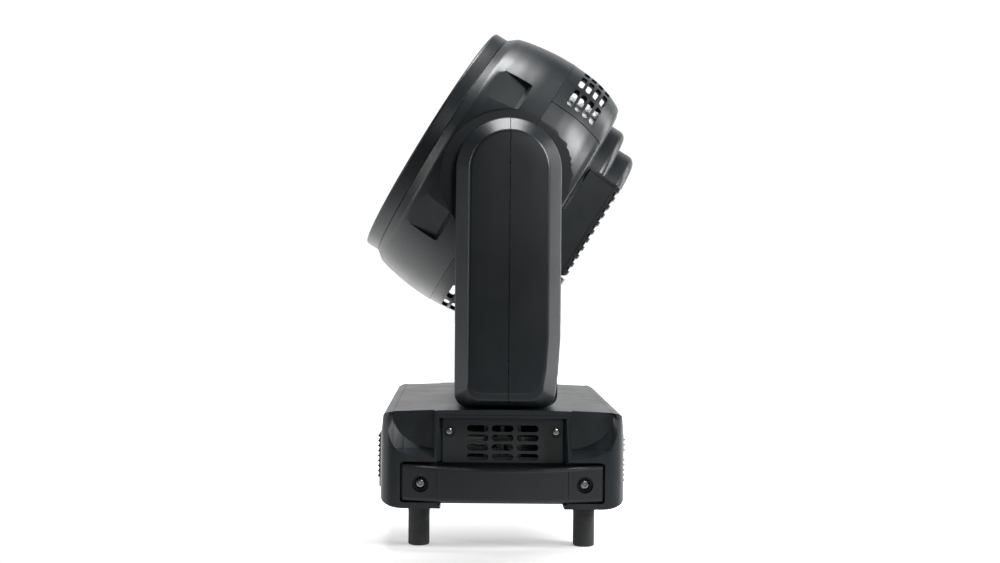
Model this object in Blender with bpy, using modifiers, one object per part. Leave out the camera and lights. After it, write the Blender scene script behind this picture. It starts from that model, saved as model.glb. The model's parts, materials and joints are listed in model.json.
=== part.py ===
"""Moving head wash light: a base, a panning yoke and a tilting round head.

Units are metres and +Z is up. The origin is on the pan axis, at the height
of the feet's undersides. The front of the base, with its display, faces -X,
and the tilt axis runs along Y. "Right" is the -Y side and "left" is +Y.

Shapes start in the construction collection, and part() moves a finished
one into the collection of parts.
"""
import math

import bmesh
import bpy
from mathutils import Matrix, Vector

# ---------------------------------------------------------------- dimensions

GAP = 0.0003                    # clearance between pieces that meet
SHEET = 0.003                   # steel sheet
SKIN = 0.0025                   # moulded cover wall

# Base
BASE_BOTTOM = 0.0445
BASE_TOP = 0.1505
BASE_TOP_EDGE = 0.1475          # height of the domed top at its long edges
BASE_HALF_X = 0.1315
BASE_HALF_Y = 0.185
BASE_CORNER = 0.018
BASE_WALL = 0.003
SHOULDER_HALF_X = 0.1285        # half width just under the top edge
TOP_HALF_X = 0.122
CHEEK_Y = 0.177                 # recessed upper part of each end face
STRIP_LOW = 0.0996              # sloped strip under the recess, lower edge
STRIP_HIGH = 0.1076             # and its upper edge
LID_SPLIT_Z = 0.1085
LID_HALF_X = 0.1175
END_COVER_Y = 0.165

PAD_Y = 0.085                   # hanging-bracket pads under the base
PAD_HALF_X = 0.058
PAD_HALF_Y = 0.018
PAD_PROUD = 0.003
PAD_HOLE_X = 0.043
PAD_HOLE_RADIUS = 0.0045

FOOT_RADIUS = 0.012
FOOT_X = 0.090
FOOT_Y = 0.150

GRILLE_HALF_X = 0.0645
GRILLE_LOW = 0.0926
GRILLE_HIGH = 0.1413
GRILLE_SEAT_Y = 0.1705
GRILLE_SLOT = (0.0234, 0.0070)
GRILLE_COLUMNS = 3
GRILLE_COLUMN_PITCH = 0.027
GRILLE_ROWS = 4
GRILLE_ROW_PITCH = 0.0102
GRILLE_FIRST_ROW = 0.0987

HANDLE_HALF_X = 0.107
HANDLE_LOW = 0.052
HANDLE_HIGH = 0.092
HANDLE_DIP = 0.004              # the top edge is lower in the middle
HANDLE_FACE_Y = 0.185
HANDLE_BOW = 0.009
HANDLE_THICK = 0.014
HANDLE_SEAT_HALF_X = 0.1097
HANDLE_SEAT_LOW = 0.0507
HANDLE_SEAT_HIGH = 0.0945
FINGER_HALF_X = 0.070
FINGER_BACK_Y = 0.150
BOLT_X = 0.088
BOLT_Z = 0.071
BOLT_HEAD_RADIUS = 0.006
COUNTERBORE_RADIUS = 0.009
COUNTERBORE_DEPTH = 0.008

PANEL_PROUD = 0.003             # raised pad on each long face
PANEL_HALF_Y = 0.140
PANEL_LOW = 0.0603
PANEL_HIGH = 0.119
RIB_PROUD = 0.0022
RIB_COUNT = 9
RIB_PITCH = 0.00553
RIB_FIRST_Z = 0.0704
RIB_INNER_Y = 0.100

# Yoke
PAN_X = 0.0045                  # the pan axis, a little behind the base's middle
TILT_HEIGHT = 0.4025
ARM_ARC_Z = 0.407               # centre of the arm's round top
ARM_INNER_Y = 0.159
ARM_SHOULDER_Y = 0.172
ARM_OUTER_Y = 0.1905
ARM_HALF_X = 0.0575
ARM_FACE_HALF_X = 0.0425
ARM_BOTTOM = 0.152
ARM_FACE_BOTTOM = 0.167
BRIDGE_HALF_X = 0.055
BRIDGE_BOTTOM = 0.1525
BRIDGE_TOP = 0.2135
FRAME_HALF_X = 0.035
FRAME_FLOOR = 0.164
FRAME_OUTER_Y = 0.1655
FRAME_TOP = 0.440

# Pan drive
PAN_PULLEY_RADIUS = 0.042
SMALL_PULLEY_RADIUS = 0.010
PAN_SHAFT_RADIUS = 0.020
PAN_SHAFT_BORE = 0.015
PAN_MOTOR_Y = 0.062
MOTOR_SIZE = 0.042
BELT_THICK = 0.0015
BELT_SEAT = 0.0007              # clearance of the faceted belt round its pulleys

# Tilt drive
TILT_PULLEY_RADIUS = 0.040
TILT_MOTOR_Z = 0.1895
TILT_SHAFT_RADIUS = 0.015

# Head, in its own frame: local +Z is the beam, local Y the tilt axis
HEAD_TILT = math.radians(-58.5)
HEAD_FLAT_Y = 0.156
RECESS_FLOOR_Y = 0.1475         # the round recess in each of the head's sides
RECESS_RADIUS = 0.0745
HEAD_WALL = 0.003
HEAD_SEAM = 0.0038
HEAD_STEPS = 32
BEZEL_FRONT = 0.1036
BEZEL_BACK = 0.0866
BEZEL_RADIUS = 0.1467
BEZEL_BORE = 0.134
LENS_RINGS = ((1, 0.0), (6, 0.053), (12, 0.104))
ZOOM_TRAVEL = 0.022
VENT_COLUMNS = (-0.0150, -0.0254, -0.0358, -0.0462)
VENT_SLOTS = 7
VENT_PITCH = math.radians(14.7)
VENT_LENGTH = 0.033
VENT_WIDTH = 0.0068
REAR_BOX_HALF_Y = 0.120
REAR_BOX_HALF_X = 0.0595
REAR_BOX_FRONT = -0.0733
REAR_BOX_BACK = -0.1145
REAR_BOX_RIM = 0.005            # chamfer round the box's back face
REAR_SLOTS = 10
REAR_SLOT_PITCH = 0.011

# ------------------------------------------------------------ scene, helpers

for leftover in list(bpy.data.objects):
    bpy.data.objects.remove(leftover, do_unlink=True)

parts = bpy.data.collections.new("moving_head_light")
construction = bpy.data.collections.new("cutters")
for collection in (parts, construction):
    bpy.context.scene.collection.children.link(collection)

# A flat outline (u, v) and its extrusion w, turned to face along an axis.
OUTLINE_FRAMES = {
    "X": Matrix(((0, 0, 1), (1, 0, 0), (0, 1, 0))).to_4x4(),
    "Y": Matrix(((1, 0, 0), (0, 0, -1), (0, 1, 0))).to_4x4(),
    "Z": Matrix.Identity(4),
}


def construct(name, mesh):
    """A new object in the construction collection, drawn as wire."""
    obj = bpy.data.objects.new(name, mesh)
    construction.objects.link(obj)
    obj.hide_render = True
    obj.display_type = "WIRE"
    return obj


def from_bmesh(name, bm):
    """An object from a bmesh whose faces are made to point outwards."""
    bmesh.ops.recalc_face_normals(bm, faces=bm.faces)
    mesh = bpy.data.meshes.new(name)
    bm.to_mesh(mesh)
    bm.free()
    return construct(name, mesh)


def box(name, low, high):
    """A box between two corners."""
    low, high = Vector(low), Vector(high)
    bm = bmesh.new()
    bmesh.ops.create_cube(bm, size=1.0)
    bmesh.ops.scale(bm, vec=high - low, verts=bm.verts)
    bmesh.ops.translate(bm, vec=(low + high) / 2, verts=bm.verts)
    return from_bmesh(name, bm)


def cylinder(name, radius, centre, axis, low, high, segments=24, top=None):
    """A cylinder or cone along an axis; centre gives the other two places."""
    bm = bmesh.new()
    bmesh.ops.create_cone(bm, cap_ends=True, segments=segments, radius1=radius,
                          radius2=radius if top is None else top, depth=high - low)
    u, v = centre
    bmesh.ops.translate(bm, vec=(u, v, (low + high) / 2), verts=bm.verts)
    frame = OUTLINE_FRAMES[axis]
    if axis == "Y":
        # The outline frame points w along -Y; keep low and high as given.
        frame = frame @ Matrix.Scale(-1, 4, (0, 0, 1))
    bmesh.ops.transform(bm, matrix=frame, verts=bm.verts)
    return from_bmesh(name, bm)


def prism(name, outlines, axis, low, high):
    """Flat closed outlines, the first with the others as holes, extruded."""
    curve = bpy.data.curves.new(name, "CURVE")
    curve.dimensions = "2D"
    curve.fill_mode = "BOTH"
    curve.extrude = (high - low) / 2
    for outline in outlines:
        spline = curve.splines.new("POLY")
        spline.points.add(len(outline) - 1)
        for point, (u, v) in zip(spline.points, outline):
            point.co = (u, v, 0, 1)
        spline.use_cyclic_u = True
    flat = bpy.data.objects.new(name, curve)
    construction.objects.link(flat)
    depsgraph = bpy.context.evaluated_depsgraph_get()
    mesh = bpy.data.meshes.new_from_object(flat.evaluated_get(depsgraph))
    bpy.data.objects.remove(flat, do_unlink=True)
    bm = bmesh.new()
    bm.from_mesh(mesh)
    bmesh.ops.remove_doubles(bm, verts=bm.verts, dist=1e-6)
    bmesh.ops.transform(bm, matrix=OUTLINE_FRAMES[axis], verts=bm.verts)
    middle = {"X": Vector((1, 0, 0)), "Y": Vector((0, 1, 0)), "Z": Vector((0, 0, 1))}[axis]
    bmesh.ops.translate(bm, vec=middle * (low + high) / 2, verts=bm.verts)
    return from_bmesh(name, bm)


def loft(name, rings):
    """A closed solid through rings of points, all of the same count."""
    bm = bmesh.new()
    loops = [[bm.verts.new(point) for point in ring] for ring in rings]
    for before, after in zip(loops, loops[1:]):
        for i, vert in enumerate(before):
            j = (i + 1) % len(before)
            bm.faces.new((vert, before[j], after[j], after[i]))
    bm.faces.new(loops[0])
    bm.faces.new(loops[-1])
    return from_bmesh(name, bm)


def turned(name, profile, steps=32, ring=False):
    """A profile of (radius, height), outer side first, turned about Z."""
    mesh = bpy.data.meshes.new(name)
    edges = [(i, i + 1) for i in range(len(profile) - 1)]
    if ring:
        edges.append((len(profile) - 1, 0))
    mesh.from_pydata([(radius, 0, height) for radius, height in profile], edges, [])
    obj = construct(name, mesh)
    screw = obj.modifiers.new("turn", "SCREW")
    screw.steps = steps
    screw.render_steps = steps
    screw.use_merge_vertices = True
    screw.merge_threshold = 0.00005
    screw.use_smooth_shade = True
    return obj


def boolean(target, operation, tools):
    """Add one Boolean modifier for each tool, and return the target."""
    for tool in tools:
        modifier = target.modifiers.new(operation.lower(), "BOOLEAN")
        modifier.operation = operation
        modifier.object = tool
    return target


def cut(target, *tools):
    """Take the tools away from the target."""
    return boolean(target, "DIFFERENCE", tools)


def join(target, *tools):
    """Add the tools to the target."""
    return boolean(target, "UNION", tools)


def common(target, *tools):
    """Keep what the target shares with every tool."""
    return boolean(target, "INTERSECT", tools)


def moved(obj, matrix):
    """Turn or shift a plain mesh inside its object."""
    obj.data.transform(matrix)
    return obj


def carry(obj, empty):
    """Parent an object and everything it is cut with to an empty."""
    obj.parent = empty
    for modifier in obj.modifiers:
        if modifier.type == "BOOLEAN":
            carry(modifier.object, empty)


def part(obj, name, finish, empty=None):
    """Make a construction object into a named part."""
    construction.objects.unlink(obj)
    parts.objects.link(obj)
    obj.name = name
    obj.hide_render = False
    obj.display_type = "TEXTURED"
    obj.data.materials.clear()
    obj.data.materials.append(finish)
    if obj.data.polygons:
        obj.data.shade_smooth()
        obj.data.set_sharp_from_angle(angle=math.radians(35))
    if empty is not None:
        carry(obj, empty)
    return obj


def joint_empty(name, location, rotation=(0, 0, 0), parent=None):
    """An empty on a joint's axis, that carries what moves."""
    empty = bpy.data.objects.new(name, None)
    parts.objects.link(empty)
    empty.empty_display_size = 0.05
    empty.location = location
    empty.rotation_euler = rotation
    empty.parent = parent
    return empty


def material(name, colour, roughness, metallic=0.0):
    """A Principled material of one colour."""
    mat = bpy.data.materials.new(name)
    mat.use_nodes = True
    shader = mat.node_tree.nodes["Principled BSDF"]
    shader.inputs["Base Color"].default_value = (*colour, 1)
    shader.inputs["Roughness"].default_value = roughness
    shader.inputs["Metallic"].default_value = metallic
    return mat


def arc(u, v, radius, start, end, steps, radius_v=None):
    """Points along an arc or an elliptic arc, with angles in degrees."""
    points = []
    for i in range(steps + 1):
        angle = math.radians(start + (end - start) * i / steps)
        points.append((u + radius * math.cos(angle),
                       v + (radius_v or radius) * math.sin(angle)))
    return points


def rounded_rect(u, v, width, height, radius, steps=2):
    """A closed rectangle outline with round corners."""
    outline = []
    for turn, (side_u, side_v) in enumerate(((1, 1), (-1, 1), (-1, -1), (1, -1))):
        outline += arc(u + side_u * (width / 2 - radius), v + side_v * (height / 2 - radius),
                       radius, 90 * turn, 90 * turn + 90, steps)
    return outline


def stadium(u, v, length, width, steps=4):
    """A closed slot outline, long in u, with round ends."""
    reach = (length - width) / 2
    return (arc(u + reach, v, width / 2, -90, 90, steps)
            + arc(u - reach, v, width / 2, 90, 270, steps))


# ----------------------------------------------------------------- materials

cover_plastic = material("satin_black_plastic", (0.030, 0.033, 0.036), 0.48)
chassis_steel = material("black_coated_steel", (0.022, 0.023, 0.025), 0.55, 0.3)
zinc_steel = material("zinc_plated_steel", (0.45, 0.46, 0.48), 0.38, 0.9)
foot_rubber = material("black_rubber", (0.025, 0.025, 0.025), 0.8)
bolt_steel = material("black_bolt_steel", (0.05, 0.05, 0.055), 0.35, 0.8)
aluminium = material("bare_aluminium", (0.72, 0.73, 0.74), 0.32, 0.95)
lens_acrylic = material("clear_lens_acrylic", (0.82, 0.86, 0.90), 0.08)
board_green = material("circuit_board", (0.02, 0.10, 0.05), 0.5)
display_glass = material("display_glass", (0.01, 0.015, 0.03), 0.12)
button_plastic = material("button_plastic", (0.10, 0.10, 0.11), 0.45)
socket_blue = material("power_inlet_blue", (0.03, 0.12, 0.45), 0.4)
socket_grey = material("power_outlet_grey", (0.45, 0.46, 0.47), 0.45)
belt_rubber = material("belt_rubber", (0.015, 0.015, 0.015), 0.7)
motor_steel = material("motor_steel", (0.10, 0.10, 0.11), 0.45, 0.6)
fan_plastic = material("fan_plastic", (0.012, 0.012, 0.013), 0.4)

# ---------------------------------------------------------------------- base


def mirrored(points):
    """An outline reflected in u, in the opposite order."""
    return [(-u, v) for u, v in reversed(points)]


def base_hull(name, inset):
    """The base's closed outer form, or its cavity when inset by the wall."""
    side = BASE_HALF_X - inset
    low = BASE_BOTTOM + inset
    right = arc(side - 0.026, low + 0.011, 0.026, -90, 0, 4, radius_v=0.011)
    right += [(side, 0.117), (SHOULDER_HALF_X - inset, BASE_TOP_EDGE - 0.003 - inset),
              (TOP_HALF_X, BASE_TOP_EDGE - inset), (TOP_HALF_X / 2, BASE_TOP - 0.0007 - inset)]
    outline = right + [(0, BASE_TOP - inset)] + mirrored(right)
    hull = prism(name, [outline], "Y", -BASE_HALF_Y + inset, BASE_HALF_Y - inset)
    plan = rounded_rect(0, 0, 2 * side, 2 * (BASE_HALF_Y - inset), BASE_CORNER - inset, 3)
    return common(hull, prism(name + "_plan", [plan], "Z", 0, 0.2))


def cheek_outline(inset, side):
    """The recess in the upper part of an end face: (x, z), for one side."""
    inner = GRILLE_HALF_X + 0.009
    outer = 0.1272 - inset
    low = STRIP_LOW + inset
    outline = [(inner, low)]
    outline += arc(outer - 0.037 + inset, low + 0.030, 0.037 - inset, -90, 0, 4, radius_v=0.030)
    outline += [(outer, 0.1405), (outer - 0.0105, BASE_TOP + 0.0005), (inner, BASE_TOP + 0.0005)]
    return [(side * x, z) for x, z in outline]


def cheek_recess(side, end):
    """The cheek's recess, whose lower and outer borders slope."""
    slope = STRIP_HIGH - STRIP_LOW
    rings = []
    for inset, y in ((0, BASE_HALF_Y + 0.0005), (slope, CHEEK_Y)):
        rings.append([(x, end * y, z) for x, z in cheek_outline(inset, side)])
    return loft("cheek_recess", rings)


def handle_pocket(end, wall):
    """The handle's shallow seats and the deep finger pocket between them."""
    seat_y = HANDLE_FACE_Y - HANDLE_THICK - GAP - wall
    far = BASE_HALF_Y + 0.01
    seat = box("handle_seat",
               (-HANDLE_SEAT_HALF_X - wall, min(end * seat_y, end * far), HANDLE_SEAT_LOW - wall),
               (HANDLE_SEAT_HALF_X + wall, max(end * seat_y, end * far), HANDLE_SEAT_HIGH + wall))
    back = FINGER_BACK_Y - wall
    half = FINGER_HALF_X + wall
    outline = [(half, HANDLE_SEAT_HIGH + wall), (-half, HANDLE_SEAT_HIGH + wall),
               (-half, HANDLE_SEAT_LOW), (-half + 0.005, BASE_BOTTOM - 0.002),
               (half - 0.005, BASE_BOTTOM - 0.002), (half, HANDLE_SEAT_LOW)]
    finger = prism("finger_pocket", [outline], "Y", min(end * back, end * far),
                   max(end * back, end * far))
    return join(seat, finger)


def grille_recess(end, wall):
    """The recess that holds a side grille, open down to the handle pocket."""
    near = GRILLE_SEAT_Y - wall
    half = GRILLE_HALF_X + 0.0012 + wall
    rings = []
    for y, flare in ((near, 0.0), (BASE_HALF_Y + 0.002, 0.006)):
        ring = [(-half - flare, HANDLE_SEAT_HIGH - 0.008), (half + flare, HANDLE_SEAT_HIGH - 0.008),
                (half + flare / 2, GRILLE_HIGH + GAP + wall),
                (-half - flare / 2, GRILLE_HIGH + GAP + wall)]
        rings.append([(x, end * y, z) for x, z in ring])
    return loft("grille_recess", rings)


def base_shell():
    """The wall of the whole base, before it is divided into covers."""
    hull = base_hull("base_outside", 0)
    room = base_hull("base_inside", BASE_WALL)
    for end in (-1, 1):
        cut(hull, handle_pocket(end, 0), grille_recess(end, 0))
        cut(room, handle_pocket(end, SKIN), grille_recess(end, SKIN))
        for side in (-1, 1):
            cut(hull, cheek_recess(side, end))
        upper = box("cheek_backing", (-0.2, min(end * (CHEEK_Y - BASE_WALL), end * 0.2),
                                      STRIP_LOW - BASE_WALL),
                    (0.2, max(end * (CHEEK_Y - BASE_WALL), end * 0.2), 0.2))
        cut(room, upper)
    return cut(hull, room)


def lid_region(clearance):
    """The space of the top cover, grown by a clearance."""
    lid = box("lid_region", (-LID_HALF_X - clearance, -0.19, LID_SPLIT_Z - clearance),
              (LID_HALF_X + clearance, 0.19, 0.16))
    half = GRILLE_HALF_X + 0.008 - clearance
    for end in (-1, 1):
        inner = END_COVER_Y + clearance
        cut(lid, box("grille_tab", (-half, min(end * inner, end * 0.2), 0.1),
                    (half, max(end * inner, end * 0.2), GRILLE_HIGH + 0.0035 - clearance)))
    return lid


def build_top_cover(shell):
    """The domed lid with the upper end walls, open round the pan hub."""
    lid = common(lid_region(0), shell)
    cut(lid, cylinder("hub_opening", 0.035, (PAN_X, 0), "Z", 0.13, 0.17, 32))
    return part(lid, "base_top_cover", cover_plastic)


def build_end_cover(shell, end, name):
    """The moulded end of the base, with its handle and grille seats."""
    region = box("end_region", (-0.2, min(end * END_COVER_Y, end * 0.2), 0.03),
                 (0.2, max(end * END_COVER_Y, end * 0.2), 0.16))
    cover = cut(common(region, shell), lid_region(GAP))
    window = box("grille_window", (-0.050, min(end * 0.15, end * 0.19), 0.098),
                 (0.050, max(end * 0.15, end * 0.19), 0.137))
    cut(cover, window)
    for side in (-1, 1):
        cut(cover, cylinder("bolt_hole", 0.0034, (side * BOLT_X, BOLT_Z), "Y",
                            min(end * 0.15, end * 0.19), max(end * 0.15, end * 0.19), 12))
    return part(cover, name, cover_plastic)


def build_chassis(shell):
    """The steel floor pan with the backs of the two handle pockets."""
    half_y = END_COVER_Y - GAP
    region = box("chassis_region", (-LID_HALF_X, -half_y, 0.03),
                 (LID_HALF_X, half_y, LID_SPLIT_Z - GAP))
    pan = common(region, shell)
    for y in (-PAD_Y, PAD_Y):
        pad = box("bracket_pad", (-PAD_HALF_X, y - PAD_HALF_Y, BASE_BOTTOM - PAD_PROUD),
                  (PAD_HALF_X, y + PAD_HALF_Y, BASE_BOTTOM + 0.001))
        for x in (-PAD_HOLE_X, PAD_HOLE_X):
            cut(pad, cylinder("fastener_hole", PAD_HOLE_RADIUS, (x, y), "Z",
                              BASE_BOTTOM - 0.01, BASE_BOTTOM, 16))
        join(pan, pad)
    return part(pan, "base_chassis", chassis_steel)


def rib_outline(side):
    """A saw-tooth section of louvre ribs, (x, z)."""
    face = BASE_HALF_X + PANEL_PROUD
    outline = []
    for i in range(RIB_COUNT):
        z = RIB_FIRST_Z + i * RIB_PITCH
        outline += [(side * (face - 0.0005), z - 0.0016), (side * (face + RIB_PROUD), z),
                    (side * (face - 0.0005), z + 0.0020)]
    back = face - 0.0015
    return outline + [(side * back, outline[-1][1]), (side * back, outline[0][1])]


def long_wall(shell, side):
    """One long wall of the base with its raised pad and louvre ribs."""
    half_y = END_COVER_Y - GAP
    inner = LID_HALF_X + GAP
    region = box("wall_region", (min(side * inner, side * 0.2), -half_y, 0.03),
                 (max(side * inner, side * 0.2), half_y, 0.16))
    wall = common(region, shell)
    pad_outer = BASE_HALF_X + PANEL_PROUD
    pad = prism("raised_pad", [rounded_rect(0, (PANEL_LOW + PANEL_HIGH) / 2, 2 * PANEL_HALF_Y,
                                            PANEL_HIGH - PANEL_LOW, 0.004)], "X",
                min(side * (BASE_HALF_X - 0.002), side * pad_outer),
                max(side * (BASE_HALF_X - 0.002), side * pad_outer))
    join(wall, pad)
    for end in (-1, 1):
        join(wall, prism("louvre_ribs", [rib_outline(side)], "Y",
                         min(end * RIB_INNER_Y, end * (PANEL_HALF_Y - 0.004)),
                         max(end * RIB_INNER_Y, end * (PANEL_HALF_Y - 0.004))))
    return wall


DISPLAY_Y = 0.030
DISPLAY_Z = 0.090
DISPLAY_SIZE = (0.064, 0.036)
BUTTON_SPOTS = {"menu_button": (-0.0300, 0.0975), "down_button": (-0.0300, 0.0825),
                "up_button": (-0.0480, 0.0975), "enter_button": (-0.0480, 0.0825)}
BUTTON_RADIUS = 0.0055
BUTTON_TRAVEL = 0.0012
FRONT_FACE = -(BASE_HALF_X + PANEL_PROUD)
REAR_FACE = BASE_HALF_X + PANEL_PROUD


def build_front(shell):
    """The front wall, its display, four menu buttons and their boards."""
    wall = long_wall(shell, -1)
    cut(wall, box("display_window", (-0.2, DISPLAY_Y - 0.029, DISPLAY_Z - 0.015),
                  (-0.12, DISPLAY_Y + 0.029, DISPLAY_Z + 0.015)))
    for y, z in BUTTON_SPOTS.values():
        cut(wall, cylinder("button_hole", BUTTON_RADIUS + GAP, (y, z), "X", -0.2, -0.12, 12))
    part(wall, "base_front_panel", cover_plastic)
    behind = FRONT_FACE + BASE_WALL + PANEL_PROUD + 0.0013
    width, height = DISPLAY_SIZE
    screen = box("screen", (behind, DISPLAY_Y - width / 2, DISPLAY_Z - height / 2),
                 (behind + 0.004, DISPLAY_Y + width / 2, DISPLAY_Z + height / 2))
    part(screen, "display_screen", display_glass)
    board = box("board", (behind + 0.0045, -0.070, 0.066), (behind + 0.0061, 0.075, 0.112))
    for y, z in BUTTON_SPOTS.values():
        join(board, cylinder("switch", 0.003, (y, z), "X", behind + 0.0025, behind + 0.005, 10))
    join(board, box("processor", (behind + 0.005, -0.01, 0.078), (behind + 0.009, 0.016, 0.100)))
    part(board, "control_board", board_green)
    for name, (y, z) in BUTTON_SPOTS.items():
        stem_end = behind + 0.0025 - BUTTON_TRAVEL - GAP
        holder = joint_empty(name + "_axis", (FRONT_FACE, y, z))
        cap = cylinder("cap", BUTTON_RADIUS, (0, 0), "X", -0.0018, stem_end - FRONT_FACE, 12)
        flange = cylinder("flange", BUTTON_RADIUS + 0.0012, (0, 0), "X",
                          behind - FRONT_FACE - 0.0010, stem_end - FRONT_FACE, 12)
        part(join(cap, flange), name, button_plastic, holder)


CONNECTOR_Z = 0.0895
CONNECTORS = {"power_inlet": (-0.078, 0.0100, socket_blue),
              "power_outlet": (-0.044, 0.0100, socket_grey),
              "dmx_input": (0.018, 0.0085, chassis_steel),
              "dmx_output": (0.052, 0.0085, chassis_steel)}
FUSE_Y = -0.014


def build_rear(shell):
    """The rear wall with its power, data and fuse sockets."""
    wall = long_wall(shell, 1)
    for y, _, _ in CONNECTORS.values():
        cut(wall, cylinder("socket_hole", 0.0118, (y, CONNECTOR_Z), "X", 0.12, 0.2, 16))
    cut(wall, cylinder("fuse_hole", 0.0068, (FUSE_Y, CONNECTOR_Z), "X", 0.12, 0.2, 12))
    part(wall, "base_rear_panel", cover_plastic)
    for name, (y, bore, finish) in CONNECTORS.items():
        flange = prism("flange", [rounded_rect(y, CONNECTOR_Z, 0.026, 0.031, 0.003)], "X",
                       REAR_FACE + GAP, REAR_FACE + 0.0022)
        barrel = cylinder("barrel", 0.0115, (y, CONNECTOR_Z), "X", REAR_FACE - 0.020,
                          REAR_FACE + 0.0012, 16)
        socket = cut(join(flange, barrel),
                     cylinder("socket", bore, (y, CONNECTOR_Z), "X", REAR_FACE - 0.014,
                              REAR_FACE + 0.004, 16))
        part(socket, name, finish)
    fuse = cylinder("fuse_cap", 0.0080, (FUSE_Y, CONNECTOR_Z), "X", REAR_FACE + GAP,
                    REAR_FACE + 0.0050, 12)
    join(fuse, cylinder("fuse_body", 0.0064, (FUSE_Y, CONNECTOR_Z), "X", REAR_FACE - 0.022,
                        REAR_FACE + 0.0030, 12))
    part(fuse, "fuse_holder", chassis_steel)


def handle_section(x):
    """The handle's rounded section at one place along its length."""
    across = min(abs(x) / HANDLE_HALF_X, 1.0)
    bow = HANDLE_BOW * (1 - across ** 2)
    dip = HANDLE_DIP * (1 - across ** 2)
    middle_y = HANDLE_FACE_Y + bow - HANDLE_THICK / 2
    height = HANDLE_HIGH - dip - HANDLE_LOW
    outline = rounded_rect(middle_y, HANDLE_LOW + height / 2, HANDLE_THICK, height, 0.004, 1)
    return [(x, y, z) for y, z in outline]


def build_handle(end, name):
    """A bowed carrying handle with a counterbored bolt at each end."""
    stations = [HANDLE_HALF_X * (i / 4 - 1) for i in range(9)]
    handle = loft("bar", [handle_section(x) for x in stations])
    if end < 0:
        moved(handle, Matrix.Scale(-1, 4, (0, 1, 0)))
        handle.data.flip_normals()
    for side in (-1, 1):
        face = HANDLE_FACE_Y + HANDLE_BOW * (1 - (BOLT_X / HANDLE_HALF_X) ** 2)
        floor = face - COUNTERBORE_DEPTH
        cut(handle, cylinder("counterbore", COUNTERBORE_RADIUS, (side * BOLT_X, BOLT_Z), "Y",
                             min(end * floor, end * 0.2), max(end * floor, end * 0.2), 16))
        cut(handle, cylinder("through_hole", 0.0034, (side * BOLT_X, BOLT_Z), "Y",
                             min(end * 0.15, end * 0.2), max(end * 0.15, end * 0.2), 12))
        build_bolt(end, side, floor + GAP)
    return part(handle, name, cover_plastic)


def build_bolt(end, side, seat):
    """A button-head socket screw that holds one handle end."""
    low, high = seat - 0.024, seat + 0.0008
    head = cylinder("head", BOLT_HEAD_RADIUS, (0, 0), "Z", seat, seat + 0.0033, 20, top=0.0042)
    join(head, cylinder("shank", 0.0030, (0, 0), "Z", low, high, 12))
    cut(head, cylinder("hex_socket", 0.0022, (0, 0), "Z", seat + 0.0012, seat + 0.005, 6))
    turn = Matrix.Rotation(math.radians(-90 * end), 4, "X")
    place = Matrix.Translation((side * BOLT_X, 0, BOLT_Z)) @ turn
    for piece in [head] + [modifier.object for modifier in head.modifiers]:
        moved(piece, place)
    ends = {-1: "right", 1: "left"}
    sides = {-1: "front", 1: "rear"}
    part(head, f"handle_bolt_{ends[end]}_{sides[side]}", bolt_steel)


def build_grille(end, name):
    """A slotted plate over the cooling opening in one end."""
    middle = (GRILLE_LOW + GRILLE_HIGH) / 2
    outlines = [rounded_rect(0, middle, 2 * GRILLE_HALF_X, GRILLE_HIGH - GRILLE_LOW, 0.001, 1)]
    length, width = GRILLE_SLOT
    for row in range(GRILLE_ROWS):
        for column in range(GRILLE_COLUMNS):
            u = (column - (GRILLE_COLUMNS - 1) / 2) * GRILLE_COLUMN_PITCH
            outlines.append(stadium(u, GRILLE_FIRST_ROW + row * GRILLE_ROW_PITCH, length, width, 2))
    near, far = GRILLE_SEAT_Y + GAP, GRILLE_SEAT_Y + 0.0033
    plate = prism("plate", outlines, "Y", min(end * near, end * far), max(end * near, end * far))
    return part(plate, name, cover_plastic)


def build_feet():
    """Four tall rubber feet."""
    profile = [(0, BASE_BOTTOM - GAP), (FOOT_RADIUS, BASE_BOTTOM - GAP), (FOOT_RADIUS, 0.0012),
               (FOOT_RADIUS - 0.0012, 0), (0, 0)]
    for end, end_name in ((-1, "right"), (1, "left")):
        for side, side_name in ((-1, "front"), (1, "rear")):
            foot = turned("foot", profile, 16)
            foot.location = (side * FOOT_X, end * FOOT_Y, 0)
            part(foot, f"foot_{end_name}_{side_name}", foot_rubber)


def fan_frame(name, size, depth, bore):
    """A square fan housing with a four-armed hub; its axis is local Z."""
    frame = cut(box(name, (-size / 2, -size / 2, 0), (size / 2, size / 2, depth)),
                cylinder("bore", bore, (0, 0), "Z", -0.01, depth + 0.01, 24))
    arms = box("arm", (-bore - 0.001, -0.002, 0), (bore + 0.001, 0.002, 0.003))
    join(arms, box("arm", (-0.002, -bore - 0.001, 0), (0.002, bore + 0.001, 0.003)))
    join(arms, cylinder("hub", size * 0.16, (0, 0), "Z", 0, 0.0036, 12))
    return join(frame, arms)


def fan_rotor(name, size, depth, bore, blades):
    """A fan hub with pitched blades; its axis is local Z."""
    hub = cylinder(name, size * 0.16, (0, 0), "Z", 0.0040, depth - 0.001, 12)
    middle = (depth + 0.004) / 2
    for i in range(blades):
        blade = box("blade", (size * 0.14, -size * 0.11, -0.0008),
                    (bore - 0.0012, size * 0.11, 0.0008))
        pitch = math.asin(min(0.8, (depth - 0.0062) / (size * 0.22)))
        place = (Matrix.Rotation(2 * math.pi * i / blades, 4, "Z")
                 @ Matrix.Translation((0, 0, middle)) @ Matrix.Rotation(pitch, 4, "X"))
        join(hub, moved(blade, place))
    return hub


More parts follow.
